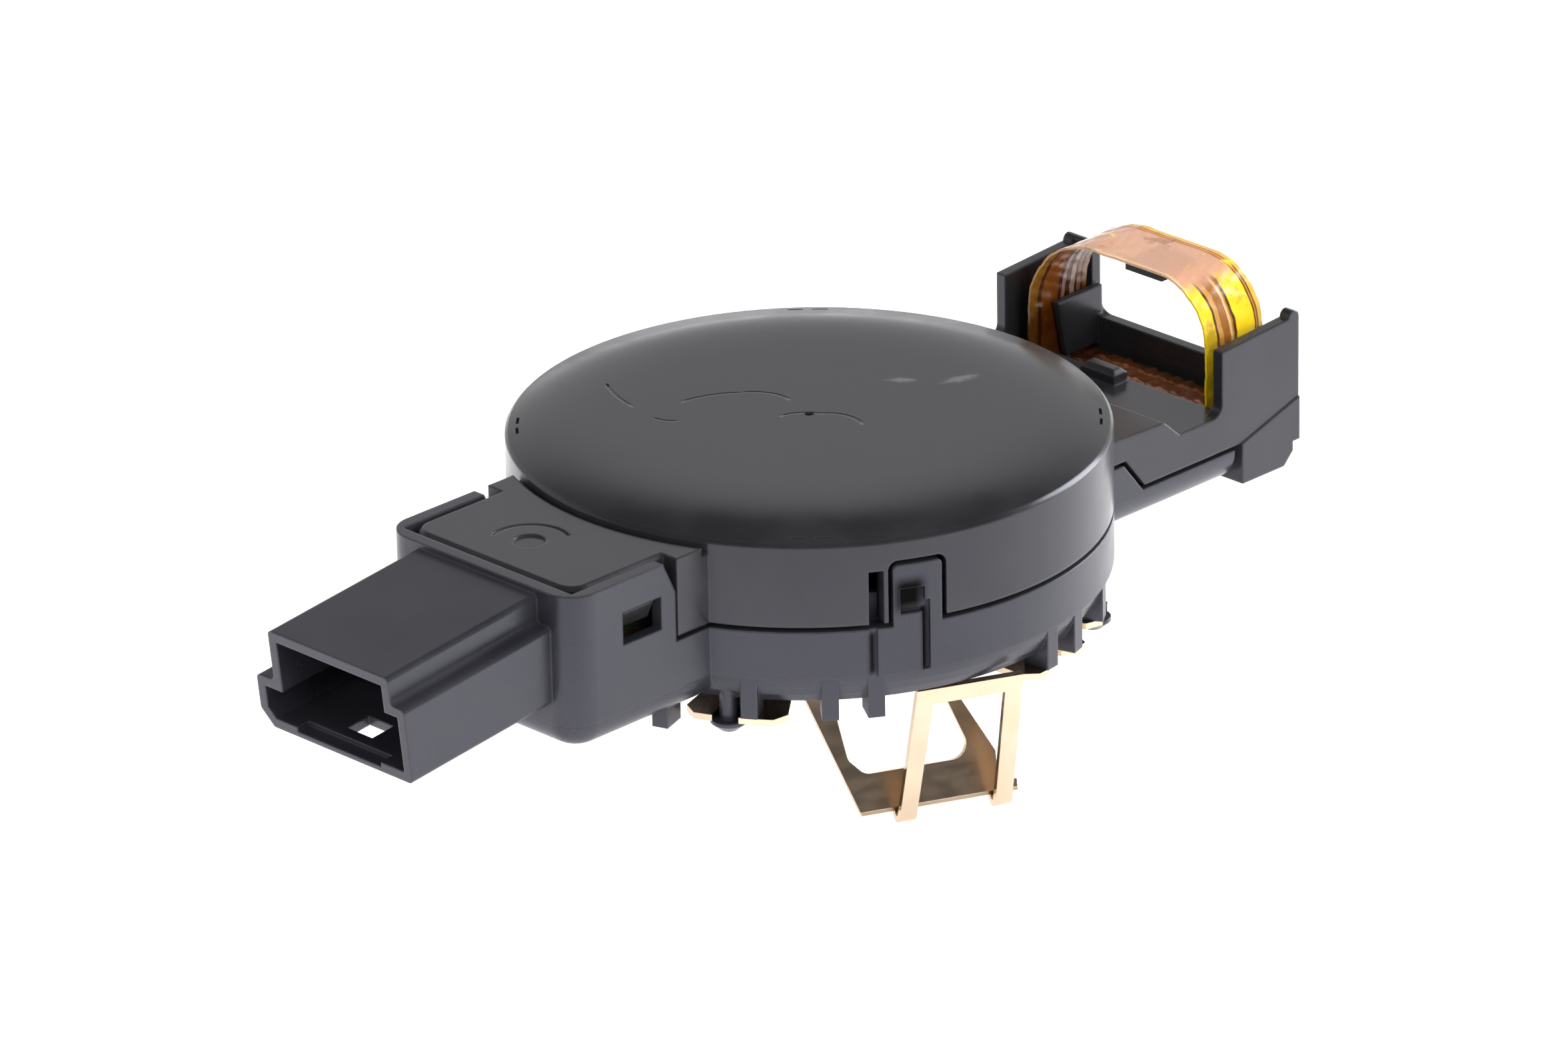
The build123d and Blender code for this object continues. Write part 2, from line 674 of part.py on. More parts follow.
# Upper cover: dome and skirt joined with the lid, its saddle and the pocket arm
window_top = block_top - snap_below_rim
lug_outer = opening_half_width - lid_gap / 2
with BuildPart() as upper_cover:
    with BuildSketch(Plane.XZ):
        with BuildLine():
            Polyline(
                (crown_flat_radius, crown),
                (0, crown),
                (0, seam + half_gap),
                (puck_radius, seam + half_gap),
                (puck_radius, rim - rim_bevel),
                (puck_radius - rim_bevel, rim),
            )
            crown_arc = TangentArc(
                (crown_flat_radius, crown),
                (puck_radius - rim_bevel, rim),
                tangent=(1, 0),
                mode=Mode.PRIVATE,
            )
            Polyline(*[crown_arc @ (step / crown_flats) for step in range(crown_flats + 1)])
        make_face()
    revolve(axis=Axis.Z)
    with BuildSketch(Plane.XY.offset(seam + half_gap)):
        with Locations((-(saddle_reach - half_gap) / 2 - puck_radius / 4, 0)):
            Rectangle(saddle_reach - half_gap - puck_radius / 2, 2 * block_half_width)
    extrude(amount=block_top - seam - half_gap)
    add(connector_lid.part)
    add(pocket_arm.part)

    # hollow inside: round chamber, saddle and arm
    with BuildSketch(Plane.XY.offset(seam)):
        Circle(inner_radius)
    extrude(amount=ceiling - seam, mode=Mode.SUBTRACT)
    with BuildSketch(Plane.XY.offset(seam)):
        with Locations((-saddle_reach / 2 - puck_radius / 4, 0)):
            Rectangle(saddle_reach - puck_radius / 2, 2 * opening_half_width)
    extrude(amount=lid_underside - seam, mode=Mode.SUBTRACT)
    with BuildSketch(Plane.XZ):
        with BuildLine():
            Polyline(
                (arm_root, arm_seam),
                (arm_root, deck_end - shell_wall),
                (deck_end_x - arm_wall, deck_end - shell_wall),
                (step_x - arm_wall, step_top - shell_wall),
                (pocket_start_x - arm_wall, step_top - shell_wall),
                (pocket_start_x - arm_wall, arm_seam),
                close=True,
            )
        make_face()
    extrude(amount=arm_inner_half_width, both=True, mode=Mode.SUBTRACT)

    # slot where the flex circuit's tail leaves the pocket floor
    with BuildSketch(Plane.YZ.offset(pocket_start_x - 2 * arm_wall)):
        with Locations((0, pocket_floor + 2 * flex_thickness)):
            Rectangle(flex_tail_width + 4 * flex_thickness, 4 * flex_thickness)
    extrude(amount=3 * arm_wall, mode=Mode.SUBTRACT)

    # windows for the latch tabs, with a slot beside each
    for latch_angle in latch_azimuths:
        with BuildSketch(facing_plane(latch_angle, puck_radius - 2 * shell_wall, 0)):
            with Locations((0, (foot + tab_top + seam_gap) / 2)):
                RectangleRounded(tab_width + 2 * seam_gap, tab_top + seam_gap - foot, tab_round + seam_gap)
            with Locations((-slot_offset, (seam + rim - slot_below_rim) / 2)):
                Rectangle(slot_width, rim - slot_below_rim - seam)
        extrude(amount=3 * shell_wall, mode=Mode.SUBTRACT)

    # groove round the dome where the saddle meets it
    with BuildSketch(Plane.XY.offset(block_top - saddle_groove_depth)):
        Circle(puck_radius + saddle_groove_width)
        Circle(puck_radius, mode=Mode.SUBTRACT)
    extrude(amount=saddle_groove_depth, mode=Mode.SUBTRACT)

    # snap legs of the lid, with a lug in each side window
    for side in (-1, 1):
        with BuildSketch(Plane.YZ.offset(-block_reach + snap_from_front + lid_gap)):
            with BuildLine():
                Polyline(
                    (side * (lug_outer - shell_wall), lid_underside),
                    (side * lug_outer, lid_underside),
                    (side * lug_outer, window_top - lid_gap),
                    (side * (lug_outer + block_wall * 0.7), window_top - lid_gap),
                    (side * lug_outer, window_top - lid_gap - shell_wall),
                    (side * (lug_outer - shell_wall), window_top - lid_gap - shell_wall),
                    close=True,
                )
            make_face()
        extrude(amount=snap_length - 2 * lid_gap)

    # moulding marks: gate at the centre, ticks at the rim, ejector mark with an arc on the lid
    with BuildSketch(Plane.XY.offset(crown - gate_depth)):
        Circle(gate_radius)
    extrude(amount=gate_depth, mode=Mode.SUBTRACT)
    with BuildSketch(Plane.XY.offset(rim - mark_depth)):
        for tick_angle in tick_angles:
            for mark_angle in (tick_angle - tick_spread, tick_angle + tick_spread):
                with PolarLocations(puck_radius - tick_inset, 1, start_angle=mark_angle):
                    Rectangle(tick_width, tick_length)
    extrude(amount=crown_rise, mode=Mode.SUBTRACT)
    with BuildSketch(Plane.XY.offset(block_top - mark_depth)):
        with Locations(mark_centre):
            Circle(mark_disc_radius)
        with BuildLine():
            CenterArc(mark_centre, mark_arc_radius - mark_line / 2, mark_arc_start, mark_arc_sweep)
        trace(line_width=mark_line)
    extrude(amount=mark_depth, mode=Mode.SUBTRACT)
upper_cover.part.label = "upper_cover"

# Retaining spring: flat plate with lobes, and two V clips bent down from it
leaf_foot_z = plate_top - clip_drop
leaf_angle = math.atan2(clip_leaf_lean, clip_drop)
frame_angle = math.atan2(clip_frame_lean, clip_frame_rise)
leaf_length = math.hypot(clip_leaf_lean, clip_drop)
frame_length = math.hypot(clip_frame_lean, clip_frame_rise)
bend_n = clip_leaf_foot + clip_bend_radius * math.cos(leaf_angle)
bend_z = leaf_foot_z + clip_bend_radius * math.sin(leaf_angle)
frame_foot_n = bend_n + clip_bend_radius * math.cos(frame_angle)
frame_foot_z = bend_z - clip_bend_radius * math.sin(frame_angle)
bend_inside = clip_bend_radius - spring_gauge / 2
bend_outside = clip_bend_radius + spring_gauge / 2
bend_start = 180 + math.degrees(leaf_angle)
bend_sweep = 180 - math.degrees(leaf_angle) - math.degrees(frame_angle)
leaf_outline = [
    (leaf_foot_left, 0),
    (leaf_foot_right, 0),
    (leaf_foot_right, leaf_lip),
    (leaf_shoulder, leaf_lip),
    (leaf_shoulder, leaf_shoulder_height),
    (leaf_shoulder - leaf_skew, leaf_length),
    (leaf_foot_left - leaf_skew, leaf_length),
]
window_right = leaf_shoulder - leaf_leg_width
window_left = leaf_foot_left + leaf_leg_width
leaf_window = [
    (leaf_foot_left + leaf_window_round / 2, leaf_bar_width),
    (window_right, leaf_bar_width),
    (window_right - leaf_skew / 4, leaf_bar_width + leaf_window_splay),
    (window_right - leaf_skew, leaf_length + leaf_bar_width),
    (window_left - leaf_skew, leaf_length + leaf_bar_width),
    (leaf_foot_left - leaf_skew / 6, leaf_bar_width + leaf_window_splay / 2),
]
notch_half_width = stake_radius + notch_clearance
with BuildPart() as retaining_spring:
    with BuildSketch(Plane.XY.offset(spring_clearance)):
        Circle(plate_outer_radius)
        for turn in (0, 180):
            for low, high in lobe_spans:
                with BuildLine():
                    CenterArc((0, 0), lobe_radius, low + turn, high - low)
                    Line((0, 0), on_circle(lobe_radius, low + turn))
                    Line((0, 0), on_circle(lobe_radius, high + turn))
                make_face()
        Circle(plate_inner_radius, mode=Mode.SUBTRACT)
    extrude(amount=spring_gauge)
    lobe_corners = retaining_spring.edges().filter_by(Axis.Z).filter_by(
        lambda edge: math.hypot(edge.center().X, edge.center().Y) > lobe_radius - 0.1
    )
    chamfer(lobe_corners, lobe_chamfer)
    with BuildSketch(Plane.XY.offset(spring_clearance)):
        for stake_angle in half_turn(stake_azimuths):
            with PolarLocations(stake_ring_radius + notch_half_width, 1, start_angle=stake_angle):
                Rectangle(4 * notch_half_width, 2 * notch_half_width)
    extrude(amount=spring_gauge, mode=Mode.SUBTRACT)

    for latch_angle in latch_azimuths:
        outwards = turned(latch_angle)
        along = turned(latch_angle + 90)
        leaf_up = Vector(0, 0, math.cos(leaf_angle)) - outwards * math.sin(leaf_angle)
        frame_up = Vector(0, 0, math.cos(frame_angle)) + outwards * math.sin(frame_angle)
        leaf_plane = Plane(
            origin=on_circle(clip_leaf_foot, latch_angle, leaf_foot_z),
            x_dir=along,
            z_dir=along.cross(leaf_up),
        )
        frame_plane = Plane(
            origin=on_circle(frame_foot_n, latch_angle, frame_foot_z),
            x_dir=along,
            z_dir=along.cross(frame_up),
        )
        # wide leaf with a window between two skewed legs
        with BuildSketch(leaf_plane):
            with BuildLine():
                Polyline(*leaf_outline, close=True)
            make_face()
            with BuildLine():
                FilletPolyline(*leaf_window, radius=leaf_window_round, close=True)
            make_face(mode=Mode.SUBTRACT)
        extrude(amount=spring_gauge / 2, both=True)
        # upright frame
        with BuildSketch(frame_plane):
            with BuildLine():
                Polyline(
                    (clip_frame_left, 0),
                    (clip_frame_left + clip_frame_taper, frame_length),
                    (clip_frame_right, frame_length),
                    (clip_frame_right, 0),
                    (clip_frame_right - clip_leg_width, 0),
                    (clip_frame_right - clip_leg_width, frame_length - clip_bar_width),
                    (clip_frame_left + clip_frame_taper + clip_leg_width, frame_length - clip_bar_width),
                    (clip_frame_left + clip_leg_width, 0),
                    close=True,
                )
            make_face()
        extrude(amount=spring_gauge / 2, both=True)
        # bend that joins each leg of the frame to the leaf
        for leg_right in (clip_frame_left + clip_leg_width, clip_frame_right):
            with BuildSketch(Plane(origin=along * leg_right, x_dir=outwards, z_dir=-along)):
                with BuildLine():
                    inner_bend = CenterArc((bend_n, bend_z), bend_inside, bend_start, bend_sweep)
                    outer_bend = CenterArc((bend_n, bend_z), bend_outside, bend_start, bend_sweep)
                    Line(inner_bend @ 0, outer_bend @ 0)
                    Line(inner_bend @ 1, outer_bend @ 1)
                make_face()
            extrude(amount=clip_leg_width)
retaining_spring.part.label = "retaining_spring"

# Light guide with its flange on the base floor and four collimating lenses
lens_seat = floor_top + guide_flange_thickness
with BuildPart() as light_guide:
    with BuildSketch(Plane.XZ):
        with BuildLine():
            Polyline(
                (0, pad_thickness),
                (guide_radius, pad_thickness),
                (guide_radius, floor_top),
                (guide_flange_radius, floor_top),
                (guide_flange_radius, lens_seat),
                (0, lens_seat),
                close=True,
            )
        make_face()
    revolve(axis=Axis.Z)
    for lens_angle in lens_angles:
        centre = on_circle(optic_ring_radius, lens_angle, lens_seat)
        with BuildSketch(radial_plane(lens_angle, centre)):
            with BuildLine():
                Polyline(
                    (0, 0),
                    (lens_radius, 0),
                    (lens_radius / 2, lens_height),
                    (0, lens_height),
                    close=True,
                )
            make_face()
        revolve(axis=Axis(centre, (0, 0, 1)))
light_guide.part.label = "light_guide"

# Coupling pad that meets the windscreen
with BuildPart() as coupling_pad:
    with BuildSketch(Plane.XY):
        Circle(pad_radius)
    extrude(amount=pad_thickness)
    chamfer(coupling_pad.faces().sort_by(Axis.Z)[0].edges(), pad_thickness / 4)
coupling_pad.part.label = "coupling_pad"

# Circuit board with a tongue into the connector block
with BuildPart() as circuit_board:
    with BuildSketch(Plane.XY.offset(board_bottom)):
        Circle(board_radius)
        with Locations((-tongue_reach / 2, 0)):
            Rectangle(tongue_reach, 2 * tongue_half_width)
        with Locations((pin_tail_x, 0)):
            with GridLocations(1, pin_pitch, 1, 3):
                Rectangle(tail_hole_side, tail_hole_side, mode=Mode.SUBTRACT)
    extrude(amount=board_thickness)
circuit_board.part.label = "circuit_board"

# Terminals, bent from the board into the socket along the shroud
pin_start = shroud_root + mouth_plane.y_dir * socket_centre
pin_corner_z = pin_start.Z + (pin_tail_x - pin_start.X) * math.tan(tilt)
pin_tip = pin_start + shroud_out * (shroud_length - pin_setback)
terminals = []
for number in (1, 2, 3):
    with BuildPart() as terminal:
        with BuildSketch(Plane.XZ.offset(-(number - 2) * pin_pitch)):
            with BuildLine():
                FilletPolyline(
                    (pin_tail_x, board_bottom - pin_tail_below_board),
                    (pin_tail_x, pin_corner_z),
                    (pin_tip.X, pin_tip.Z),
                    radius=pin_size,
                )
            trace(line_width=pin_size)
        extrude(amount=pin_size / 2, both=True)
    terminal.part.label = f"terminal_{number}"
    terminals.append(terminal.part)

# Flex circuit: closed band that stands up as an arch, with a tail to its connector
flex_top = rim + flex_crown_above_rim
tail_length = flex_start_x + flex_thickness - flex_end_x
with BuildPart() as flex_circuit:
    with BuildSketch(Plane.YZ.offset(flex_start_x)):
        with BuildLine():
            FilletPolyline(
                (-flex_half_span, pocket_floor),
                (flex_half_span, pocket_floor),
                (flex_half_span, flex_top),
                (-flex_half_span, flex_top),
                radius=[flex_foot_radius, flex_foot_radius, flex_far_radius, flex_near_radius],
                close=True,
            )
        make_face()
        offset(amount=-flex_thickness, mode=Mode.SUBTRACT)
    extrude(amount=flex_width)
    with BuildSketch(Plane.XY.offset(pocket_floor)):
        with Locations((flex_end_x + tail_length / 2, 0)):
            Rectangle(tail_length, flex_tail_width)
    extrude(amount=flex_thickness)
flex_circuit.part.label = "flex_circuit"

# Humidity chip under the crown of the arch
chip_centre = (flex_start_x + chip_inset + chip_width / 2, chip_y)
with BuildPart() as humidity_chip:
    with BuildSketch(Plane.XY.offset(flex_top - flex_thickness)):
        with Locations(chip_centre):
            Rectangle(chip_width, chip_length)
    extrude(amount=-chip_thickness)
    with BuildSketch(Plane.XY.offset(flex_top - flex_thickness - chip_thickness)):
        with Locations(chip_centre):
            Rectangle(chip_port, chip_port)
    extrude(amount=chip_thickness / 2, mode=Mode.SUBTRACT)
humidity_chip.part.label = "humidity_chip"

# Flex connector below the board, with the slot that takes the tail
connector_height = board_bottom - pocket_floor + flex_connector_below
with BuildPart() as flex_connector:
    with BuildSketch(Plane.XY.offset(board_bottom)):
        with Locations((flex_end_x - flex_connector_length / 6, 0)):
            Rectangle(flex_connector_length, flex_tail_width + 2 * flex_connector_side)
    extrude(amount=-connector_height)
    with BuildSketch(Plane.XY.offset(pocket_floor - running_gap)):
        with Locations((flex_end_x + flex_connector_length / 2 - slot_clearance, 0)):
            Rectangle(flex_connector_length, flex_tail_width + 2 * slot_clearance)
    extrude(amount=flex_thickness + 2 * running_gap, mode=Mode.SUBTRACT)
flex_connector.part.label = "flex_connector"

# Optical baffle: frame and cross walls between the board and the light guide
with BuildPart() as optical_baffle:
    with BuildSketch(Plane.XY.offset(lens_seat)):
        Rectangle(2 * (baffle_half_width + baffle_wall), 2 * (baffle_half_width + baffle_wall))
        Rectangle(2 * baffle_half_width, 2 * baffle_half_width, mode=Mode.SUBTRACT)
        Rectangle(2 * baffle_half_width, baffle_wall)
        Rectangle(baffle_wall, 2 * baffle_half_width)
        Rectangle(baffle_window, baffle_window, mode=Mode.SUBTRACT)
    extrude(amount=board_bottom - lens_seat)
optical_baffle.part.label = "optical_baffle"

# Small packages on the board: name, centre, footprint, height, and which face they sit on
packages = [
    ("emitter_1", on_circle(optic_ring_radius, lens_angles[0]), (2.2, 2.2), 0.5, "below"),
    ("receiver_1", on_circle(optic_ring_radius, lens_angles[1]), (2.4, 1.8), 0.5, "below"),
    ("emitter_2", on_circle(optic_ring_radius, lens_angles[2]), (2.2, 2.2), 0.5, "below"),
    ("receiver_2", on_circle(optic_ring_radius, lens_angles[3]), (2.4, 1.8), 0.5, "below"),
    ("ambient_light_sensor", Vector(0, 0, 0), (1.6, 1.6), 0.6, "below"),
    ("microcontroller", Vector(-2, 3, 0), (7.0, 7.0), 1.2, "above"),
    ("bus_transceiver", Vector(-9, -6, 0), (5.0, 4.0), 1.5, "above"),
    ("voltage_regulator", Vector(-2, -8, 0), (4.6, 2.6), 1.5, "above"),
    ("capacitor_1", Vector(6, -7, 0), (3.2, 1.6), 1.6, "above"),
    ("capacitor_2", Vector(6, -3.5, 0), (3.2, 1.6), 1.6, "above"),
    ("forward_light_sensor", Vector(9, 3, 0), (3.0, 2.4), 1.1, "above"),
]
small_parts = []
for part_name, centre, footprint, height, side in packages:
    face = board_top if side == "above" else board_bottom
    rise = height if side == "above" else -height
    with BuildPart() as package:
        with BuildSketch(Plane.XY.offset(face)):
            with Locations((centre.X, centre.Y)):
                Rectangle(*footprint)
        extrude(amount=rise)
        far_face = package.faces().sort_by(Axis.Z)[-1 if side == "above" else 0]
        chamfer(far_face.edges(), package_chamfer)
    package.part.label = part_name
    small_parts.append(package.part)

os.makedirs("parts", exist_ok=True)
for piece in [
    base_housing.part,
    upper_cover.part,
    retaining_spring.part,
    light_guide.part,
    coupling_pad.part,
    circuit_board.part,
    flex_circuit.part,
    humidity_chip.part,
    flex_connector.part,
    optical_baffle.part,
    *terminals,
    *small_parts,
]:
    export_step(piece, f"parts/{piece.label}.step")
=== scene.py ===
import math
import bpy
import numpy as np
from mathutils import Matrix, Vector


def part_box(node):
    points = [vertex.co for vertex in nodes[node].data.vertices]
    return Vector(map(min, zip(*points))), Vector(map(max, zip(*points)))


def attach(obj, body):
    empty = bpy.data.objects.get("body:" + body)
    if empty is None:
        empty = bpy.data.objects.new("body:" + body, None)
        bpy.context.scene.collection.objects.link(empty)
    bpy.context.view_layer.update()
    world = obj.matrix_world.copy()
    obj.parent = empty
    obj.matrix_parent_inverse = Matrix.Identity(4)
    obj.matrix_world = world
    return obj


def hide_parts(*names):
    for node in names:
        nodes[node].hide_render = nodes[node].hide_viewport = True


# Rain sensor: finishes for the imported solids, and the fine pieces that go on them
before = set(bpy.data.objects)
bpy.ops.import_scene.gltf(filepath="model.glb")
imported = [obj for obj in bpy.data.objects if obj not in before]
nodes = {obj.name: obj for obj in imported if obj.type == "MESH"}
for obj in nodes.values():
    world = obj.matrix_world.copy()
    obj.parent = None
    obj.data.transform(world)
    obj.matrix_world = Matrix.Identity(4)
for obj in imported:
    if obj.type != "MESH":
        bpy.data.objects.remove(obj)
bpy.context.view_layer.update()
mm = 0.001

# The view of the photograph: turned about the axis, tilted down, seen through a long lens
cameraSettings = {
    "azimuth": -44.77,
    "elevation": 23.62,
    "roll": -1.01,
    "distance": 0.63346,
    "focalPixels": 16094.35,
    "imageWidth": 2353,
    "sensorWidth": 36.0,
    "aimRight": -0.00148,
    "aimUp": -0.00593,
    "aimHeight": 0.013,
    "clipNear": 0.01,
    "clipFar": 20.0,
}


def makeCamera(settings):
    # back points from the object to the camera; right and up are turned about it by the roll
    a = math.radians(settings["azimuth"])
    e = math.radians(settings["elevation"])
    r = math.radians(settings["roll"])
    flatRight = Vector((math.cos(a), math.sin(a), 0))
    back = Vector((math.sin(a) * math.cos(e), -math.cos(a) * math.cos(e), math.sin(e)))
    flatUp = back.cross(flatRight)
    right = flatRight * math.cos(r) + flatUp * math.sin(r)
    up = flatUp * math.cos(r) - flatRight * math.sin(r)
    place = right * settings["aimRight"] + up * settings["aimUp"] + back * settings["distance"]
    place += Vector((0, 0, settings["aimHeight"]))
    data = bpy.data.cameras.new("camera")
    data.sensor_width = settings["sensorWidth"]
    data.lens = settings["focalPixels"] * settings["sensorWidth"] / settings["imageWidth"]
    data.clip_start = settings["clipNear"]
    data.clip_end = settings["clipFar"]
    camera = bpy.data.objects.new("camera", data)
    bpy.context.scene.collection.objects.link(camera)
    turn = Matrix((right, up, back)).transposed().to_4x4()
    camera.matrix_world = Matrix.Translation(place) @ turn
    bpy.context.scene.camera = camera


makeCamera(cameraSettings)
print("camera placed")

# Soft boxes round a pale sweep, and one just above the table under the object:
# place, size, power, colour, and whether gloss shows the box itself
lightSettings = {
    "overhead": ((0.02, 0.10, 0.55), (0.55, 0.40), 2.0, (1.0, 1.0, 1.0), False),
    "front": ((-0.05, -0.60, 0.30), (0.50, 0.35), 4.0, (0.96, 0.97, 1.0), False),
    "right": ((0.60, -0.15, 0.22), (0.30, 0.45), 4.0, (0.95, 0.96, 1.0), True),
    "left": ((-0.60, -0.10, 0.25), (0.30, 0.35), 2.0, (0.96, 0.97, 1.0), False),
    "table": ((0, 0, -0.0069), (0.085, 0.045), 0.024, (0.97, 0.96, 1.0), False),
}
aimPoint = Vector((0, 0, 0.008))


def makeLights(settings):
    for name, (place, size, power, colour, inGloss) in settings.items():
        data = bpy.data.lights.new(name, "AREA")
        data.shape = "RECTANGLE"
        data.size, data.size_y = size
        data.energy = power
        data.color = colour
        lamp = bpy.data.objects.new(name, data)
        bpy.context.scene.collection.objects.link(lamp)
        lamp.location = place
        lamp.visible_glossy = inGloss
        lamp.visible_camera = False
        lamp.visible_transmission = False
        lamp.rotation_mode = "QUATERNION"
        lamp.rotation_quaternion = (aimPoint - Vector(place)).to_track_quat("-Z", "Y")


makeLights(lightSettings)


# Short ways to make shader nodes, most of which hand on the output that the next one needs
def setInputs(tree, node, values):
    # a number or tuple is set on the node's socket, and another node's output is linked to it
    for key, value in values.items():
        if isinstance(value, (int, float, tuple)):
            node.inputs[key].default_value = value
        else:
            tree.links.new(value, node.inputs[key])


def addNode(tree, kind, values=None, **options):
    node = tree.nodes.new(kind)
    for key, value in options.items():
        setattr(node, key, value)
    setInputs(tree, node, values or {})
    return node


def mathNode(tree, operation, a, b=None, clamp=False):
    values = {0: a} if b is None else {0: a, 1: b}
    return addNode(tree, "ShaderNodeMath", values, operation=operation, use_clamp=clamp).outputs[0]


def overAll(tree, operation, values):
    # the same operation taken over several values, one after the other
    result = values[0]
    for value in values[1:]:
        result = mathNode(tree, operation, result, value)
    return result


def times(tree, *values):
    return overAll(tree, "MULTIPLY", values)


def plus(tree, *values):
    return overAll(tree, "ADD", values)


def largest(tree, *values):
    return overAll(tree, "MAXIMUM", values)


def offBy(tree, value, middle):
    return mathNode(tree, "ABSOLUTE", mathNode(tree, "SUBTRACT", value, middle))


def vectorNode(tree, operation, a, b=None, result="Vector"):
    values = {0: a} if b is None else {0: a, 1: b}
    return addNode(tree, "ShaderNodeVectorMath", values, operation=operation).outputs[result]


def scaled(tree, vector, amount):
    values = {0: vector, "Scale": amount}
    return addNode(tree, "ShaderNodeVectorMath", values, operation="SCALE").outputs["Vector"]


def splitVector(tree, vector):
    return addNode(tree, "ShaderNodeSeparateXYZ", {0: vector}).outputs


def mixColour(tree, factor, a, b):
    first, second = [(*value, 1.0) if isinstance(value, tuple) else value for value in (a, b)]
    return addNode(tree, "ShaderNodeMix", {0: factor, 6: first, 7: second}, data_type="RGBA").outputs[2]


def ramp(tree, value, low, high, outLow=0.0, outHigh=1.0):
    # a smooth step that gives outLow at low and outHigh at high
    values = {"Value": value, "From Min": low, "From Max": high, "To Min": outLow, "To Max": outHigh}
    return addNode(tree, "ShaderNodeMapRange", values, interpolation_type="SMOOTHSTEP").outputs[0]


def noiseOn(tree, vector, **values):
    # scale, detail, roughness and distortion are the node's own inputs
    named = {key.capitalize(): value for key, value in values.items()}
    return addNode(tree, "ShaderNodeTexNoise", {"Vector": vector, **named}).outputs[0]


# World: an even soft fill. What looks straight at it sees a white sweep, and gloss sees the
# same sweep, white low down, greyer high up and dark at one end of the room
darkEndTurn = math.radians(-44.77)
darkEnd = (math.sin(darkEndTurn), -math.cos(darkEndTurn), 0)
worldSettings = {
    "fill": (0.93, 0.94, 1.0), "fillStrength": 0.42, "seenStrength": 1.0,
    "sweepLow": 0.0, "sweepHigh": 0.20, "sweepStrength": 0.68,
    "highLow": 0.43, "highHigh": 0.70, "highStrength": 0.05,
    "roomLow": -0.03, "roomHigh": 0.02, "roomStrength": 0.10, "roomNear": -0.1, "roomFar": 0.4,
}


def makeWorld(settings):
    world = bpy.data.worlds.new("studio")
    bpy.context.scene.world = world
    world.use_nodes = True
    tree = world.node_tree
    tree.nodes.clear()
    path = addNode(tree, "ShaderNodeLightPath").outputs
    direction = addNode(tree, "ShaderNodeTexCoord").outputs["Generated"]
    height = splitVector(tree, direction)["Z"]
    sweep = ramp(tree, height, settings["sweepLow"], settings["sweepHigh"], 1.0, settings["sweepStrength"])
    high = ramp(tree, height, settings["highLow"], settings["highHigh"], 1.0, settings["highStrength"])
    towards = vectorNode(tree, "DOT_PRODUCT", direction, darkEnd, "Value")
    atEnd = ramp(tree, towards, settings["roomNear"], settings["roomFar"])
    aboveTable = ramp(tree, height, settings["roomLow"], settings["roomHigh"])
    room = times(tree, aboveTable, atEnd, 1.0 - settings["roomStrength"])
    gloss = times(tree, sweep, high, mathNode(tree, "SUBTRACT", 1.0, room))
    direct = largest(tree, path["Is Camera Ray"], path["Is Transmission Ray"])
    seen = largest(tree, direct, path["Is Glossy Ray"])
    strengths = {0: direct, 2: gloss, 3: settings["seenStrength"]}
    strength = addNode(tree, "ShaderNodeMix", strengths, data_type="FLOAT").outputs[0]
    fill = addNode(tree, "ShaderNodeBackground", {0: (*settings["fill"], 1), 1: settings["fillStrength"]})
    plain = addNode(tree, "ShaderNodeBackground", {0: (1, 1, 1, 1), 1: strength})
    either = addNode(tree, "ShaderNodeMixShader", {0: seen, 1: fill.outputs[0], 2: plain.outputs[0]})
    addNode(tree, "ShaderNodeOutputWorld", {0: either.outputs[0]})


makeWorld(worldSettings)
print("world and lights made")


def newMaterial(name):
    material = bpy.data.materials.new(name)
    material.use_nodes = True
    tree = material.node_tree
    return material, tree, tree.nodes["Principled BSDF"]


def objectPoint(tree, scale=(1, 1, 1)):
    coordinates = addNode(tree, "ShaderNodeTexCoord").outputs["Object"]
    return addNode(tree, "ShaderNodeMapping", {"Vector": coordinates, "Scale": scale}).outputs[0]


def newGroup(name, inputs, outputs):
    group = bpy.data.node_groups.new(name, "ShaderNodeTree")
    for socketName, kind, value in inputs:
        socket = group.interface.new_socket(socketName, in_out="INPUT", socket_type=kind)
        if value is not None:
            socket.default_value = value
    for socketName, kind in outputs:
        group.interface.new_socket(socketName, in_out="OUTPUT", socket_type=kind)
    return group, group.nodes.new("NodeGroupInput").outputs, group.nodes.new("NodeGroupOutput")


def placeGroup(tree, group, values):
    return addNode(tree, "ShaderNodeGroup", values, node_tree=group).outputs


# Effects shared by several finishes
effectSettings = {
    "grainScale": 9000.0, "fineShare": 0.6, "coarseShare": 0.4, "coarseScale": 0.3,
    "patchScale": 220.0, "patchRange": (0.35, 0.65),
    "edgeRadius": 0.00015, "edgeSamples": 6, "edgeRange": (0.99, 0.80),
    "edgeNoise": 900.0, "edgeNoiseRange": (0.3, 0.7), "edgeLeast": 0.5,
    "scratchScale": 300.0, "scratchWidth": 0.006,
    # turn and stretch of each of the two directions in which scratches run
    "scratchWays": [(0.6, 14.0), (-0.9, 9.0)],
}


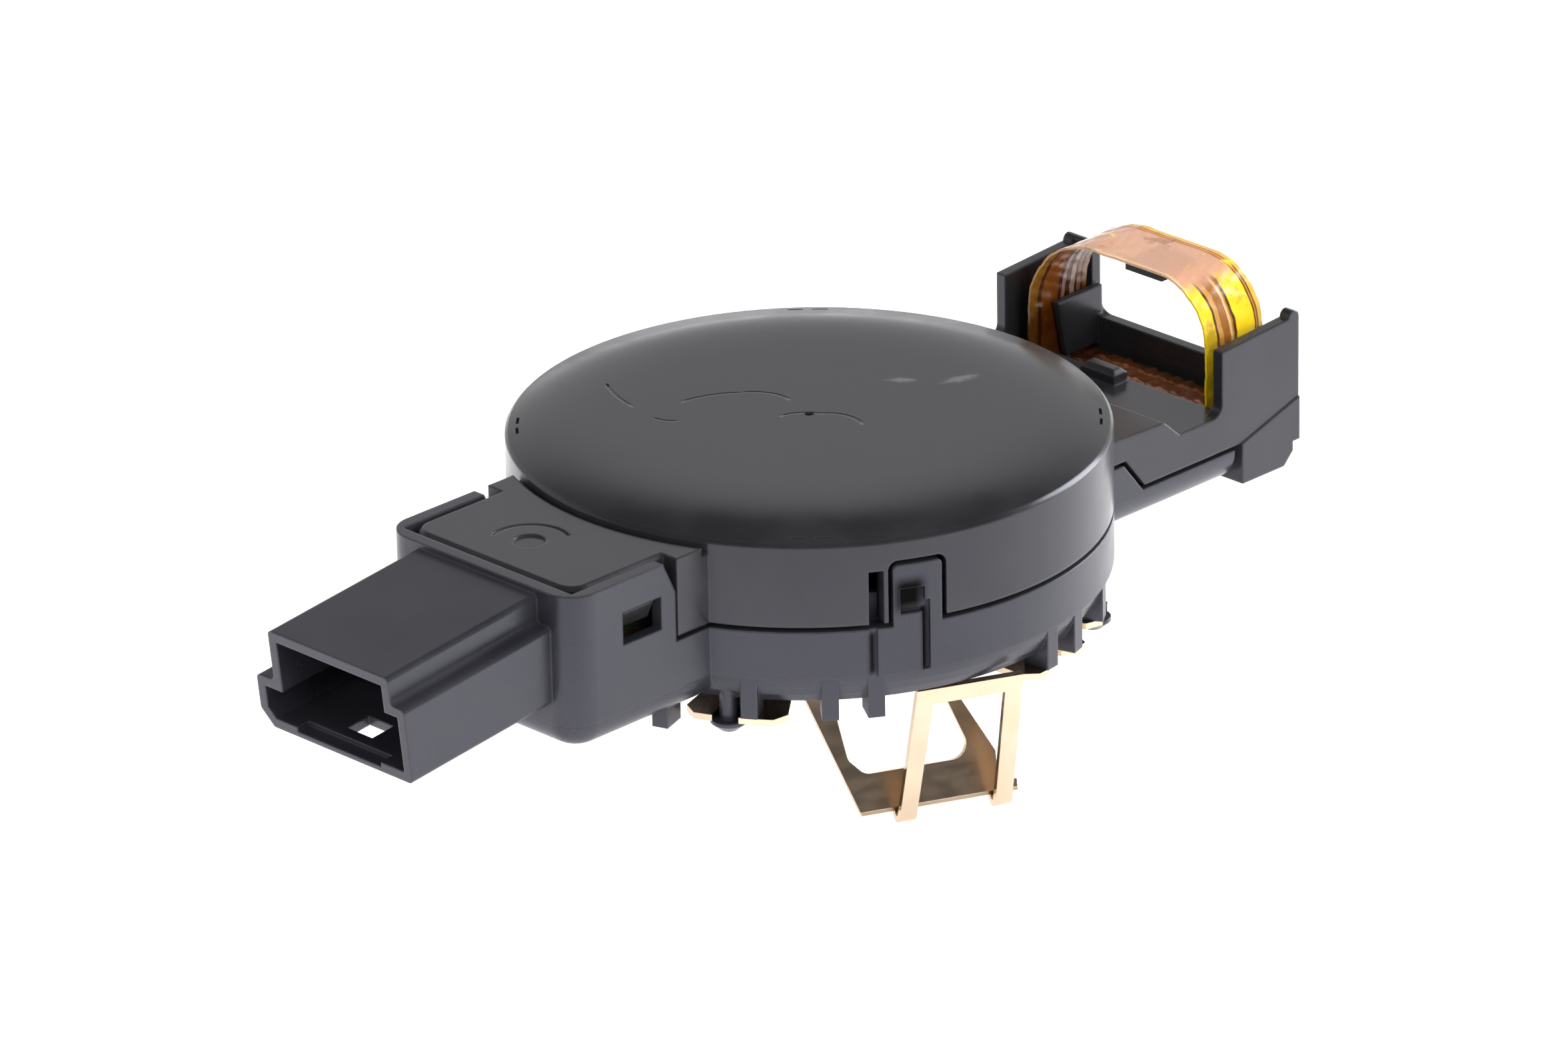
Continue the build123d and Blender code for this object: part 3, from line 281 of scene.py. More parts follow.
def makeGrainGroup(settings):
    # eroded mould texture: two sizes of noise added, with broad patches that vary it
    group, given, made = newGroup(
        "mouldGrain",
        [("Vector", "NodeSocketVector", None), ("Scale", "NodeSocketFloat", settings["grainScale"])],
        [("Height", "NodeSocketFloat"), ("Patches", "NodeSocketFloat")],
    )
    wide = times(group, given["Scale"], settings["coarseScale"])
    fine = noiseOn(group, given["Vector"], scale=given["Scale"], detail=3.0, roughness=0.6)
    coarse = noiseOn(group, given["Vector"], scale=wide, detail=2.0, roughness=0.5)
    broad = noiseOn(group, given["Vector"], scale=settings["patchScale"], detail=3.0)
    fineHeight = times(group, fine, settings["fineShare"])
    coarseHeight = times(group, coarse, settings["coarseShare"])
    patches = ramp(group, broad, *settings["patchRange"])
    setInputs(group, made, {"Height": plus(group, fineHeight, coarseHeight), "Patches": patches})
    return group


def makeEdgeGroup(settings):
    # worn edges, partly a painted highlight on the rounded edges: where the rounded normal leaves the true
    # one, broken up by noise
    group, given, made = newGroup(
        "edgeWearAndPaintedHighlight",
        [("Vector", "NodeSocketVector", None), ("Radius", "NodeSocketFloat", settings["edgeRadius"])],
        [("Mask", "NodeSocketFloat"), ("Normal", "NodeSocketVector")],
    )
    radius = {"Radius": given["Radius"]}
    rounded = addNode(group, "ShaderNodeBevel", radius, samples=settings["edgeSamples"]).outputs[0]
    normal = addNode(group, "ShaderNodeNewGeometry").outputs["Normal"]
    noise = noiseOn(group, given["Vector"], scale=settings["edgeNoise"], detail=4.0)
    edge = ramp(group, vectorNode(group, "DOT_PRODUCT", rounded, normal, "Value"), *settings["edgeRange"])
    broken = ramp(group, noise, *settings["edgeNoiseRange"], settings["edgeLeast"], 1.0)
    setInputs(group, made, {"Mask": times(group, edge, broken), "Normal": rounded})
    return group


def makeScratchGroup(settings):
    # handling marks: thin level lines of stretched noise, two directions crossed
    group, given, made = newGroup(
        "fineScratches",
        [("Vector", "NodeSocketVector", None), ("Scale", "NodeSocketFloat", settings["scratchScale"])],
        [("Mask", "NodeSocketFloat")],
    )
    masks = []
    for turn, stretch in settings["scratchWays"]:
        stretching = {"Vector": given["Vector"], "Rotation": (0, 0, turn), "Scale": (1, stretch, 1)}
        stretched = addNode(group, "ShaderNodeMapping", stretching).outputs[0]
        noise = noiseOn(group, stretched, scale=given["Scale"], detail=1.0, distortion=0.3)
        masks.append(ramp(group, offBy(group, noise, 0.5), settings["scratchWidth"], 0.0))
    setInputs(group, made, {"Mask": largest(group, *masks)})
    return group


grainGroup = makeGrainGroup(effectSettings)
edgeGroup = makeEdgeGroup(effectSettings)
scratchGroup = makeScratchGroup(effectSettings)


def bumpFrom(tree, height, strength, distance, normal=None):
    values = {"Height": height, "Strength": strength, "Distance": distance}
    if normal is not None:
        values["Normal"] = normal
    return addNode(tree, "ShaderNodeBump", values).outputs[0]


def fromAxis(tree, point):
    # the point laid flat, and its distance from the axis
    flat = vectorNode(tree, "MULTIPLY", point, (1, 1, 0))
    return flat, vectorNode(tree, "LENGTH", flat, result="Value")


def domeNormal(tree, point, edgeNormal, settings):
    # the dome's normal leans out with a power of the distance from the axis, so most of it at the rim
    flat, radius = fromAxis(tree, point)
    beyond = mathNode(tree, "SUBTRACT", radius, settings["level"])
    share = mathNode(tree, "DIVIDE", beyond, settings["rim"] - settings["level"], clamp=True)
    lean = times(tree, mathNode(tree, "POWER", share, settings["power"]), settings["lean"])
    outwards = scaled(tree, vectorNode(tree, "NORMALIZE", flat), lean)
    leaning = vectorNode(tree, "NORMALIZE", vectorNode(tree, "ADD", outwards, (0, 0, 1)))
    facing = splitVector(tree, addNode(tree, "ShaderNodeNewGeometry").outputs["True Normal"])["Z"]
    facesUp = mathNode(tree, "GREATER_THAN", facing, settings["facesUp"])
    isHigh = mathNode(tree, "GREATER_THAN", splitVector(tree, point)["Z"], settings["above"])
    onDome = times(tree, facesUp, isHigh)
    mix = addNode(tree, "ShaderNodeMix", {0: onDome, 4: edgeNormal, 5: leaning}, data_type="VECTOR")
    return mix.outputs[1], onDome


def hairMark(tree, point, spots, marks):
    # a hairline along the circle through three points: close to the circle, and near the arc's middle
    start, middle, end = spots
    (ax, ay), (bx, by), (cx, cy) = spots
    d = 2 * (ax * (by - cy) + bx * (cy - ay) + cx * (ay - by))
    a2, b2, c2 = ax * ax + ay * ay, bx * bx + by * by, cx * cx + cy * cy
    centreX = (a2 * (by - cy) + b2 * (cy - ay) + c2 * (ay - by)) / d
    centreY = (a2 * (cx - bx) + b2 * (ax - cx) + c2 * (bx - ax)) / d
    centre = (centreX, centreY)
    radius = math.dist(centre, start)
    reach = math.dist(middle, start) / 2 + math.dist(middle, end) / 2
    distances = []
    for x, y in (centre, middle):
        distances.append(fromAxis(tree, vectorNode(tree, "SUBTRACT", point, (x * mm, y * mm, 0)))[1])
    width = marks["width"] * mm
    line = ramp(tree, offBy(tree, distances[0], radius * mm), width, width * marks["lineCore"])
    return times(tree, line, ramp(tree, distances[1], reach * mm, reach * marks["lineFade"] * mm))


def scuffMark(tree, point, scuff, marks):
    # a scuff: an ellipse turned in the plane, frayed by noise
    (x, y), turn, (length, width) = scuff
    ellipse = {
        "Vector": point, "Location": (x * mm, y * mm, 0), "Rotation": (0, 0, math.radians(turn)),
        "Scale": (length * mm, width * mm, 1),
    }
    inside = addNode(tree, "ShaderNodeMapping", ellipse, vector_type="TEXTURE").outputs[0]
    noise = noiseOn(tree, inside, scale=marks["frayScale"], detail=6.0, roughness=0.75)
    frayed = plus(tree, fromAxis(tree, inside)[1], times(tree, noise, marks["fray"]))
    return ramp(tree, frayed, marks["frayEdge"], marks["frayEdge"] - marks["softness"])


def markDome(tree, point, colour, onDome, marks):
    # hairlines and the gate mark are dark and scuffs are pale; the hairlines' mask is for the bump too
    lines = [hairMark(tree, point, spots, marks) for spots in marks["hairlines"]]
    scuffs = [scuffMark(tree, point, scuff, marks) for scuff in marks["scuffs"]]
    line = times(tree, largest(tree, *lines), onDome)
    scuffed = times(tree, largest(tree, *scuffs), onDome)
    pip = times(tree, onDome, ramp(tree, fromAxis(tree, point)[1], marks["pip"] * mm, 0.0))
    colour = mixColour(tree, times(tree, line, marks["lineShare"]), colour, marks["lineColour"])
    colour = mixColour(tree, times(tree, scuffed, marks["scuffShare"]), colour, marks["scuffColour"])
    return mixColour(tree, pip, colour, marks["lineColour"]), line


def softBox(tree, along, height, middle, half, soft):
    # one inside a rectangle of the side's own flat map, fading to nothing over its soft border
    shares = []
    for value, centre, reach in ((along, middle[0], half[0]), (height, middle[1], half[1])):
        off = offBy(tree, value, centre * mm)
        shares.append(ramp(tree, off, (reach + soft / 2) * mm, (reach - soft / 2) * mm))
    return times(tree, *shares)


def paintedLatchShade(tree, point, settings):
    # painted shade in the latch's hollow and the grooves beside it, darkening them inside; the far latch is
    # the near one turned half round, so the way along the side changes its sign there
    a = math.radians(settings["azimuth"])
    across = vectorNode(tree, "DOT_PRODUCT", point, (-math.sin(a), math.cos(a), 0), "Value")
    outwards = vectorNode(tree, "DOT_PRODUCT", point, (math.cos(a), math.sin(a), 0), "Value")
    along = times(tree, across, mathNode(tree, "SIGN", outwards))
    height = splitVector(tree, point)["Z"]
    dark = largest(tree, *[softBox(tree, along, height, *box) for box in settings["boxes"]])
    reach = ramp(tree, mathNode(tree, "ABSOLUTE", outwards), settings["inner"] * mm, settings["outer"] * mm)
    return times(tree, dark, reach)


def plasticMaterial(name, settings, dome=None, marks=None, paintedShade=None):
    # moulded plastic: grain in the bump, patches in the gloss, paler edges that are partly wear and partly
    # a painted highlight, hair marks, and less gloss where other faces are close by
    material, tree, shader = newMaterial(name)
    point = objectPoint(tree)
    grain = placeGroup(tree, grainGroup, {"Vector": point, "Scale": settings["grainScale"]})
    edge = placeGroup(tree, edgeGroup, {"Vector": point, "Radius": settings["edgeRadius"]})
    scratch = placeGroup(tree, scratchGroup, {"Vector": point, "Scale": settings["scratchScale"]})
    scratched = times(tree, scratch["Mask"], settings["scratches"])
    colour = mixColour(tree, grain["Patches"], settings["colour"], settings["patchColour"])
    # the paler edge colour is partly wear and partly a painted highlight along the rounded edges; the
    # scratches are wear
    colour = mixColour(tree, times(tree, edge["Mask"], settings["edgeWearAndHighlight"]), colour, settings["wornAndHighlightColour"])
    colour = mixColour(tree, scratched, colour, settings["wornAndHighlightColour"])
    normal = edge["Normal"]
    height = times(tree, grain["Height"], settings["grainStrength"])
    if dome:
        normal, onDome = domeNormal(tree, point, normal, dome)
        colour, line = markDome(tree, point, colour, onDome, marks)
        height = mathNode(tree, "SUBTRACT", height, times(tree, line, marks["lineDepth"]))
    shader.inputs["Specular Tint"].default_value = (*settings["tint"], 1)
    # painted shade: darker colour and a darker gloss tint in the latch's hollow and grooves
    if paintedShade:
        dark = paintedLatchShade(tree, point, paintedShade)
        colour = mixColour(tree, dark, colour, paintedShade["colour"])
        setInputs(tree, shader, {"Specular Tint": mixColour(tree, dark, settings["tint"], paintedShade["tint"])})
    smoothest = settings["roughness"] - settings["patchSmoother"]
    roughest = settings["roughness"] + settings["patchRougher"]
    patches = ramp(tree, grain["Patches"], 0, 1, smoothest, roughest)
    closeness = addNode(tree, "ShaderNodeAmbientOcclusion", {"Distance": settings["closeBy"]}, samples=6)
    closed = ramp(tree, closeness.outputs["AO"], *settings["closedRange"], 0.0, settings["closedGloss"])
    setInputs(tree, shader, {
        "Base Color": colour,
        "Roughness": plus(tree, patches, closed, scratched),
        "Normal": bumpFrom(tree, height, 1.0, settings["grainDepth"], normal),
        "IOR": settings["ior"],
    })
    return material


# What all plastics share: how far patches stray in roughness, and how closed places dull the gloss
plasticBasics = {
    "tint": (1.0, 1.0, 1.0), "patchSmoother": 0.02, "patchRougher": 0.03, "grainDepth": 0.00002,
    "closeBy": 0.0012, "closedRange": (0.85, 0.35), "closedGloss": 0.5,
}
coverSettings = {
    **plasticBasics,
    "colour": (0.014, 0.014, 0.015), "patchColour": (0.018, 0.018, 0.019), "wornAndHighlightColour": (0.09, 0.09, 0.098),
    "tint": (0.90, 0.89, 1.0), "roughness": 0.22, "ior": 1.52, "grainScale": 7000.0, "grainStrength": 0.035,
    "edgeRadius": 0.00022, "edgeWearAndHighlight": 0.22, "scratchScale": 130.0, "scratches": 0.004,
}
baseSettings = {
    **plasticBasics,
    "colour": (0.017, 0.017, 0.021), "patchColour": (0.021, 0.021, 0.025), "wornAndHighlightColour": (0.10, 0.10, 0.11),
    "tint": (0.89, 0.87, 1.0), "roughness": 0.28, "ior": 1.55, "grainScale": 9000.0, "grainStrength": 0.07,
    "edgeRadius": 0.00018, "edgeWearAndHighlight": 0.28, "scratchScale": 160.0, "scratches": 0.004,
}
domeSettings = {
    "level": 0.006, "rim": 0.0180, "power": 4.8, "lean": 0.55, "above": 0.0129, "facesUp": 0.97,
}
# Marks on the dome, in millimetres from the axis: three points of each hairline,
# and place, turn and size of each scuff
domeMarks = {
    "width": 0.15, "lineCore": 0.3, "lineFade": 0.7, "lineDepth": 6.0, "lineShare": 0.8,
    "lineColour": (0.002, 0.002, 0.002), "pip": 0.55,
    "hairlines": [
        ((-4.6, 12.5), (-5.8, 10.3), (-6.3, 8.6)),
        ((-6.7, 6.4), (-6.5, 5.5), (-6.0, 4.9)),
        ((-4.1, 6.8), (-2.1, 6.3), (-0.5, 5.2)),
        ((-0.5, 5.2), (0.6, 3.9), (0.7, 2.2)),
        ((-1.9, 1.0), (-0.2, 0.4), (0.5, -0.5)),
        ((0.5, -0.5), (1.3, -1.9), (0.9, -3.6)),
    ],
    "scuffs": [((7.4, -0.5), -52.0, (1.15, 0.45)), ((9.9, -2.9), -20.0, (1.6, 0.55))],
    "frayScale": 1.6, "fray": 2.2, "frayEdge": 2.1, "softness": 0.75,
    "scuffShare": 0.7, "scuffColour": (0.11, 0.11, 0.12),
}
# Painted shade in the latch's hollow and grooves, in millimetres along the side and up it: middle, half size
# and soft border of each
paintedLatchShadeSettings = {
    "azimuth": 245.0, "inner": 15.0, "outer": 16.0,
    "colour": (0.001, 0.001, 0.001), "tint": (0.02, 0.02, 0.02),
    "boxes": [
        ((-0.50, 9.35), (0.85, 0.95), 0.9),
        ((0.40, 6.4), (0.20, 2.0), 0.35),
        ((-2.75, 5.9), (0.20, 1.3), 0.5),
    ],
}
coverPlastic = plasticMaterial("coverPlastic", coverSettings, domeSettings, domeMarks)
basePlastic = plasticMaterial("basePlastic", baseSettings, paintedShade=paintedLatchShadeSettings)

springSettings = {
    "colour": (0.75, 0.59, 0.43), "tint": (0.71, 0.55, 0.385),
    "blotchScale": 350.0, "blotchRange": (0.4, 0.7),
    "roughness": 0.14, "lineSmoother": 0.04, "lineRougher": 0.05, "lineRange": (0.3, 0.7),
    "brushScale": 1500.0, "brushStretch": (0.08, 1, 1), "brushStrength": 0.08, "brushDepth": 0.00001,
    "edgeRadius": 0.00006,
    # a leaf is where the upward part of the normal lies between these two ramps
    "leafFrom": (0.10, 0.20), "leafTo": (0.50, 0.35), "leafGloss": 0.20, "cup": (0, 0, 0.22),
    "edgeTop": 0.84 * mm, "edgeLow": 0.76 * mm, "edgeTurn": -4.0,
}


def springMaterial(settings):
    # plated sheet: rolling lines along the strip, faint blotches, softened cut edges
    material, tree, shader = newMaterial("springMetal")
    point = objectPoint(tree)
    brushed = objectPoint(tree, scale=settings["brushStretch"])
    lines = noiseOn(tree, brushed, scale=settings["brushScale"], detail=3.0)
    blotch = noiseOn(tree, point, scale=settings["blotchScale"], detail=4.0)
    blotches = ramp(tree, blotch, *settings["blotchRange"])
    edge = placeGroup(tree, edgeGroup, {"Vector": point, "Radius": settings["edgeRadius"]})
    smoothest = settings["roughness"] - settings["lineSmoother"]
    roughest = settings["roughness"] + settings["lineRougher"]
    gloss = ramp(tree, lines, *settings["lineRange"], smoothest, roughest)
    # the leaves are duller and cupped a little by the stamping, so their normal leans up
    facing = splitVector(tree, edge["Normal"])["Z"]
    onLeaf = times(tree, ramp(tree, facing, *settings["leafFrom"]), ramp(tree, facing, *settings["leafTo"]))
    # their lower ends are turned over, so a narrow band there faces down and out
    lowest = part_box("retaining_spring")[0][2]
    edgeTop, edgeLow = lowest + settings["edgeTop"], lowest + settings["edgeLow"]
    turned = ramp(tree, splitVector(tree, point)["Z"], edgeTop, edgeLow, 1.0, settings["edgeTurn"])
    lean = scaled(tree, settings["cup"], times(tree, onLeaf, turned))
    cupped = vectorNode(tree, "NORMALIZE", vectorNode(tree, "ADD", edge["Normal"], lean))
    setInputs(tree, shader, {
        "Base Color": mixColour(tree, blotches, settings["colour"], settings["tint"]),
        "Roughness": plus(tree, gloss, times(tree, onLeaf, settings["leafGloss"])),
        "Normal": bumpFrom(tree, lines, settings["brushStrength"], settings["brushDepth"], cupped),
        "Metallic": 1.0,
    })
    return material


springMetal = springMaterial(springSettings)


def giveFinish(names, material):
    for name in names:
        slots = nodes[name].data.materials
        slots.clear()
        slots.append(material)


giveFinish(["upper_cover"], coverPlastic)
giveFinish(["base_housing"], basePlastic)
giveFinish(["retaining_spring"], springMetal)
print("housing and spring finished")

# Flex circuit: amber film that runs round the arch and over the pocket's floor, with its tail
flexSettings = {
    "width": 5.0 * mm, "thickness": 0.15 * mm, "tailWidth": 5.0 * mm,
    "footRadius": 0.8 * mm, "farRadius": 5.5 * mm, "nearRadius": 4.0 * mm,
    "stepsAlong": 600, "stepsAcross": 32, "cornerSteps": 40, "sharpAngle": 40.0,
    "crinkle": 0.05 * mm, "floorCrinkle": 0.22 * mm, "chipPlace": -1.98 * mm, "chipReach": 2.3 * mm,
    # each wave's size, its radians for a millimetre along and across, and its start
    "waves": [(0.5, 1.9, 1.1, 0.0), (0.3, 4.3, -2.3, 1.2), (0.2, 7.7, 3.9, 0.0)],
    "roughness": 0.22, "creaseSmoother": 0.06, "creaseRougher": 0.12, "transmission": 0.35, "ior": 1.5,
    "creaseScale": 700.0, "creaseStretch": (1.0, 0.5, 0.5), "creaseRange": (0.3, 0.7),
    "creaseStrength": 0.5, "creaseDepth": 0.00006,
    # share of the way round at which each stretch gives way to the next
    "floorEnd": (0.325, 0.365), "farLegEnd": (0.50, 0.63), "crownEnd": (0.785, 0.82),
    "frayScale": 500.0, "fray": 0.05, "tailPlace": (0.18, 0.2),
    "fleckScale": 420.0, "fleckRange": (0.60, 0.66), "fleckColour": (0.85, 0.66, 0.06),
    "dullRange": (0.45, 0.34), "dullShare": 0.5, "dullColour": (0.20, 0.07, 0.02),
    # painted shade at the far leg's foot, from its upper end down, and from the middle of the pocket out
    "deepDown": (0.0135, 0.0085), "deepOut": (0.004, 0.006), "deepShadeShare": 0.85,
    "deepShadeColour": (0.03, 0.006, 0.002),
}
# Bands across the film from its inner edge to its outer one: where each starts, and its colour
filmBands = {
    "nearLeg": [
        (0.00, (0.90, 0.64, 0.012)), (0.20, (0.08, 0.03, 0.005)), (0.235, (0.60, 0.30, 0.07)),
        (0.31, (0.34, 0.12, 0.015)), (0.43, (0.75, 0.50, 0.22)), (0.47, (0.45, 0.20, 0.02)),
        (0.50, (0.07, 0.02, 0.004)), (0.54, (0.92, 0.66, 0.010)), (0.86, (0.10, 0.03, 0.004)),
        (0.885, (0.60, 0.24, 0.02)), (0.91, (0.12, 0.04, 0.004)), (0.93, (0.74, 0.46, 0.06)),
    ],
    "crown": [
        (0.00, (0.80, 0.52, 0.30)), (0.04, (0.66, 0.36, 0.225)), (0.86, (0.40, 0.10, 0.01)),
        (0.885, (0.66, 0.36, 0.10)), (0.91, (0.40, 0.10, 0.01)), (0.93, (0.72, 0.48, 0.12)),
    ],
    "farLeg": [
        (0.00, (0.46, 0.20, 0.012)), (0.14, (0.10, 0.022, 0.004)), (0.20, (0.46, 0.13, 0.004)),
        (0.50, (0.14, 0.035, 0.006)), (0.56, (0.72, 0.46, 0.34)), (0.62, (0.14, 0.03, 0.006)),
        (0.70, (0.78, 0.54, 0.42)), (0.78, (0.10, 0.015, 0.005)), (0.82, (0.50, 0.24, 0.12)),
        (0.88, (0.10, 0.012, 0.004)), (0.92, (0.42, 0.18, 0.03)),
    ],
    "floor": [
        (0.00, (0.34, 0.11, 0.02)), (0.10, (0.16, 0.055, 0.02)), (0.30, (0.50, 0.21, 0.11)),
        (0.36, (0.18, 0.065, 0.022)), (0.55, (0.52, 0.24, 0.14)), (0.60, (0.19, 0.07, 0.025)),
        (0.80, (0.30, 0.11, 0.05)), (0.86, (0.12, 0.04, 0.012)),
    ],
}


def roundedPath(corners, steps, cornerSteps):
    # closed path with right-angled corners rounded by quarter circles, resampled at even lengths
    pieces = []
    quarter = np.linspace(0, np.pi / 2, cornerSteps)[:, None]
    for index, (y, z, radius) in enumerate(corners):
        corner = np.array((y, z))
        toBefore = np.array(corners[index - 1][:2]) - corner
        toAfter = np.array(corners[(index + 1) % len(corners)][:2]) - corner
        toBefore = toBefore / np.linalg.norm(toBefore)
        toAfter = toAfter / np.linalg.norm(toAfter)
        centre = corner + (toBefore + toAfter) * radius
        pieces.append(centre - radius * (toAfter * np.cos(quarter) + toBefore * np.sin(quarter)))
    points = np.concatenate(pieces + [pieces[0][:1]])
    lengths = np.concatenate(([0], np.cumsum(np.linalg.norm(np.diff(points, axis=0), axis=1))))
    along = np.arange(steps) / steps * lengths[-1]
    path = np.stack([np.interp(along, lengths, points[:, axis]) for axis in (0, 1)], axis=1)
    return path, along, lengths[-1]


def filmPush(settings, path, along, across, bottom):
    # how far the crinkles lift the film: three sine waves of the lengths along and across, added,
    # faded out by the chip, and turned into dents where the film lies on the pocket's floor
    s, v = np.meshgrid(along / mm, across * (settings["width"] / mm), indexing="ij")
    wave = sum(size * np.sin(turnAlong * s + turnAcross * v + start)
               for size, turnAlong, turnAcross, start in settings["waves"])
    foot = settings["footRadius"]
    onFloor = np.clip((bottom + foot - path[:, 1]) / foot, 0, 1)[:, None]
    byChip = np.exp(-(((path[:, 0] - settings["chipPlace"]) / settings["chipReach"]) ** 4))[:, None]
    lifted = settings["crinkle"] * wave * (1 - onFloor) * (1 - byChip)
    return lifted - settings["floorCrinkle"] * np.abs(wave) * onFloor ** 4


def filmBand(settings, low, high):
    # a ring of points round the film's section, carried along the arch's path: the outer face runs
    # across the width, the inner one runs back, and the crinkles push both along the normal
    half, bottom, top, outer = high[1], low[2], high[2], high[0]
    inner = outer - settings["width"]
    foot = settings["footRadius"]
    corners = [(-half, bottom, foot), (half, bottom, foot), (half, top, settings["farRadius"]),
               (-half, top, settings["nearRadius"])]
    path, along, total = roundedPath(corners, settings["stepsAlong"], settings["cornerSteps"])
    tangent = np.roll(path, -1, axis=0) - np.roll(path, 1, axis=0)
    tangent /= np.linalg.norm(tangent, axis=1)[:, None]
    normal = np.stack([tangent[:, 1], -tangent[:, 0]], axis=1)
    across = np.linspace(0, 1, settings["stepsAcross"] + 1)
    push = filmPush(settings, path, along, across, bottom)
    share = np.concatenate([across, across[::-1]])
    depth = np.concatenate([np.zeros_like(across), np.full_like(across, settings["thickness"])])
    pushed = np.concatenate([push, push[:, ::-1]], axis=1) - depth
    x = np.broadcast_to(inner + (outer - inner) * share, pushed.shape)
    y = path[:, :1] + normal[:, :1] * pushed
    z = path[:, 1:] + normal[:, 1:] * pushed
    vertices = np.stack([x, y, z], axis=2).reshape(-1, 3)
    rows, columns = pushed.shape
    i, j = np.meshgrid(np.arange(rows), np.arange(columns), indexing="ij")
    nextI, nextJ = (i + 1) % rows, (j + 1) % columns
    faces = np.stack([i * columns + j, nextI * columns + j, nextI * columns + nextJ, i * columns + nextJ],
                     axis=2).reshape(-1, 4)
    wayRound = np.broadcast_to((along / total)[:, None], pushed.shape)
    wayAcross = np.broadcast_to(share, pushed.shape)
    return vertices, faces, np.stack([wayRound, wayAcross], axis=2).reshape(-1, 2)


def filmTail(settings, low, high):
    # a thin slab from the arch's inner edge back to its connector
    half, thin, bottom = settings["tailWidth"] / 2, settings["thickness"], low[2]
    ends = (low[0], high[0] - settings["width"] + thin)
    vertices = np.array([(x, y, z) for z in (bottom, bottom + thin) for y in (-half, half) for x in ends])
    faces = np.array([(0, 2, 3, 1), (4, 5, 7, 6), (0, 1, 5, 4), (2, 6, 7, 3), (0, 4, 6, 2), (1, 3, 7, 5)])
    return vertices, faces


def makeFilm(settings):
    low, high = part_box("flex_circuit")
    vertices, faces, strip = filmBand(settings, low, high)
    tail, tailFaces = filmTail(settings, low, high)
    faces = np.concatenate([faces, tailFaces + len(vertices)])
    vertices = np.concatenate([vertices, tail])
    strip = np.concatenate([strip, np.tile(settings["tailPlace"], (len(tail), 1))])
    mesh = bpy.data.meshes.new("flex_film")
    mesh.from_pydata(vertices.tolist(), [], faces.tolist())
    loops = np.empty(len(mesh.loops), dtype=np.int32)
    mesh.loops.foreach_get("vertex_index", loops)
    mesh.uv_layers.new(name="strip").data.foreach_set("uv", strip[loops].ravel().astype(np.float32))
    mesh.polygons.foreach_set("use_smooth", np.ones(len(mesh.polygons), dtype=bool))
    mesh.set_sharp_from_angle(angle=math.radians(settings["sharpAngle"]))
    piece = bpy.data.objects.new("flex_film", mesh)
    bpy.context.scene.collection.objects.link(piece)
    return piece


def bandRamp(tree, value, bands):
    node = addNode(tree, "ShaderNodeValToRGB", {0: value})
    node.color_ramp.interpolation = "CONSTANT"
    elements = node.color_ramp.elements
    elements.remove(elements[1])
    elements[0].position = bands[0][0]
    elements[0].color = (*bands[0][1], 1)
    for place, colour in bands[1:]:
        elements.new(place).color = (*colour, 1)
    return node.outputs[0]


def filmMaterial(settings, bands):
    # amber film over copper tracks: bands across the width that change from stretch to stretch,
    # frayed a little by noise, with flecks in the copper plane of the crown and creases in the bump
    material, tree, shader = newMaterial("flexFilm")
    point = objectPoint(tree)
    strip = splitVector(tree, addNode(tree, "ShaderNodeUVMap", uv_map="strip").outputs[0])
    wobble = noiseOn(tree, point, scale=settings["frayScale"], detail=2.0)
    frayed = times(tree, mathNode(tree, "SUBTRACT", wobble, 0.5), settings["fray"])
    share = plus(tree, strip["Y"], frayed)
    colour = bandRamp(tree, share, bands["floor"])
    for name, end in (("farLeg", "floorEnd"), ("crown", "farLegEnd"), ("nearLeg", "crownEnd")):
        begun = ramp(tree, strip["X"], *settings[end])
        colour = mixColour(tree, begun, colour, bandRamp(tree, share, bands[name]))
    flecks = noiseOn(tree, point, scale=settings["fleckScale"], detail=5.0, roughness=0.65)
    pastFarLeg = ramp(tree, strip["X"], *settings["farLegEnd"])
    beforeNearLeg = ramp(tree, strip["X"], *settings["crownEnd"][::-1])
    fleck = times(tree, ramp(tree, flecks, *settings["fleckRange"]), pastFarLeg, beforeNearLeg)
    colour = mixColour(tree, fleck, colour, settings["fleckColour"])
    dull = times(tree, ramp(tree, flecks, *settings["dullRange"]), settings["dullShare"])
    colour = mixColour(tree, dull, colour, settings["dullColour"])
    # painted shade: the film darkens to nearly black at the far leg's foot, deep in the pocket
    place = splitVector(tree, point)
    down, out = ramp(tree, place["Z"], *settings["deepDown"]), ramp(tree, place["Y"], *settings["deepOut"])
    colour = mixColour(tree, times(tree, down, out, settings["deepShadeShare"]), colour, settings["deepShadeColour"])
    creased = objectPoint(tree, scale=settings["creaseStretch"])
    creases = noiseOn(tree, creased, scale=settings["creaseScale"], detail=3.0, distortion=0.6)
    smoothest = settings["roughness"] - settings["creaseSmoother"]
    roughest = settings["roughness"] + settings["creaseRougher"]
    setInputs(tree, shader, {
        "Base Color": colour,
        "Roughness": ramp(tree, creases, *settings["creaseRange"], smoothest, roughest),
        "Normal": bumpFrom(tree, creases, settings["creaseStrength"], settings["creaseDepth"]),
        "Transmission Weight": settings["transmission"],
        "IOR": settings["ior"],
    })
    return material


film = makeFilm(flexSettings)
film.data.materials.append(filmMaterial(flexSettings, filmBands))
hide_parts("flex_circuit")
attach(film, "root")
print("flex circuit made")

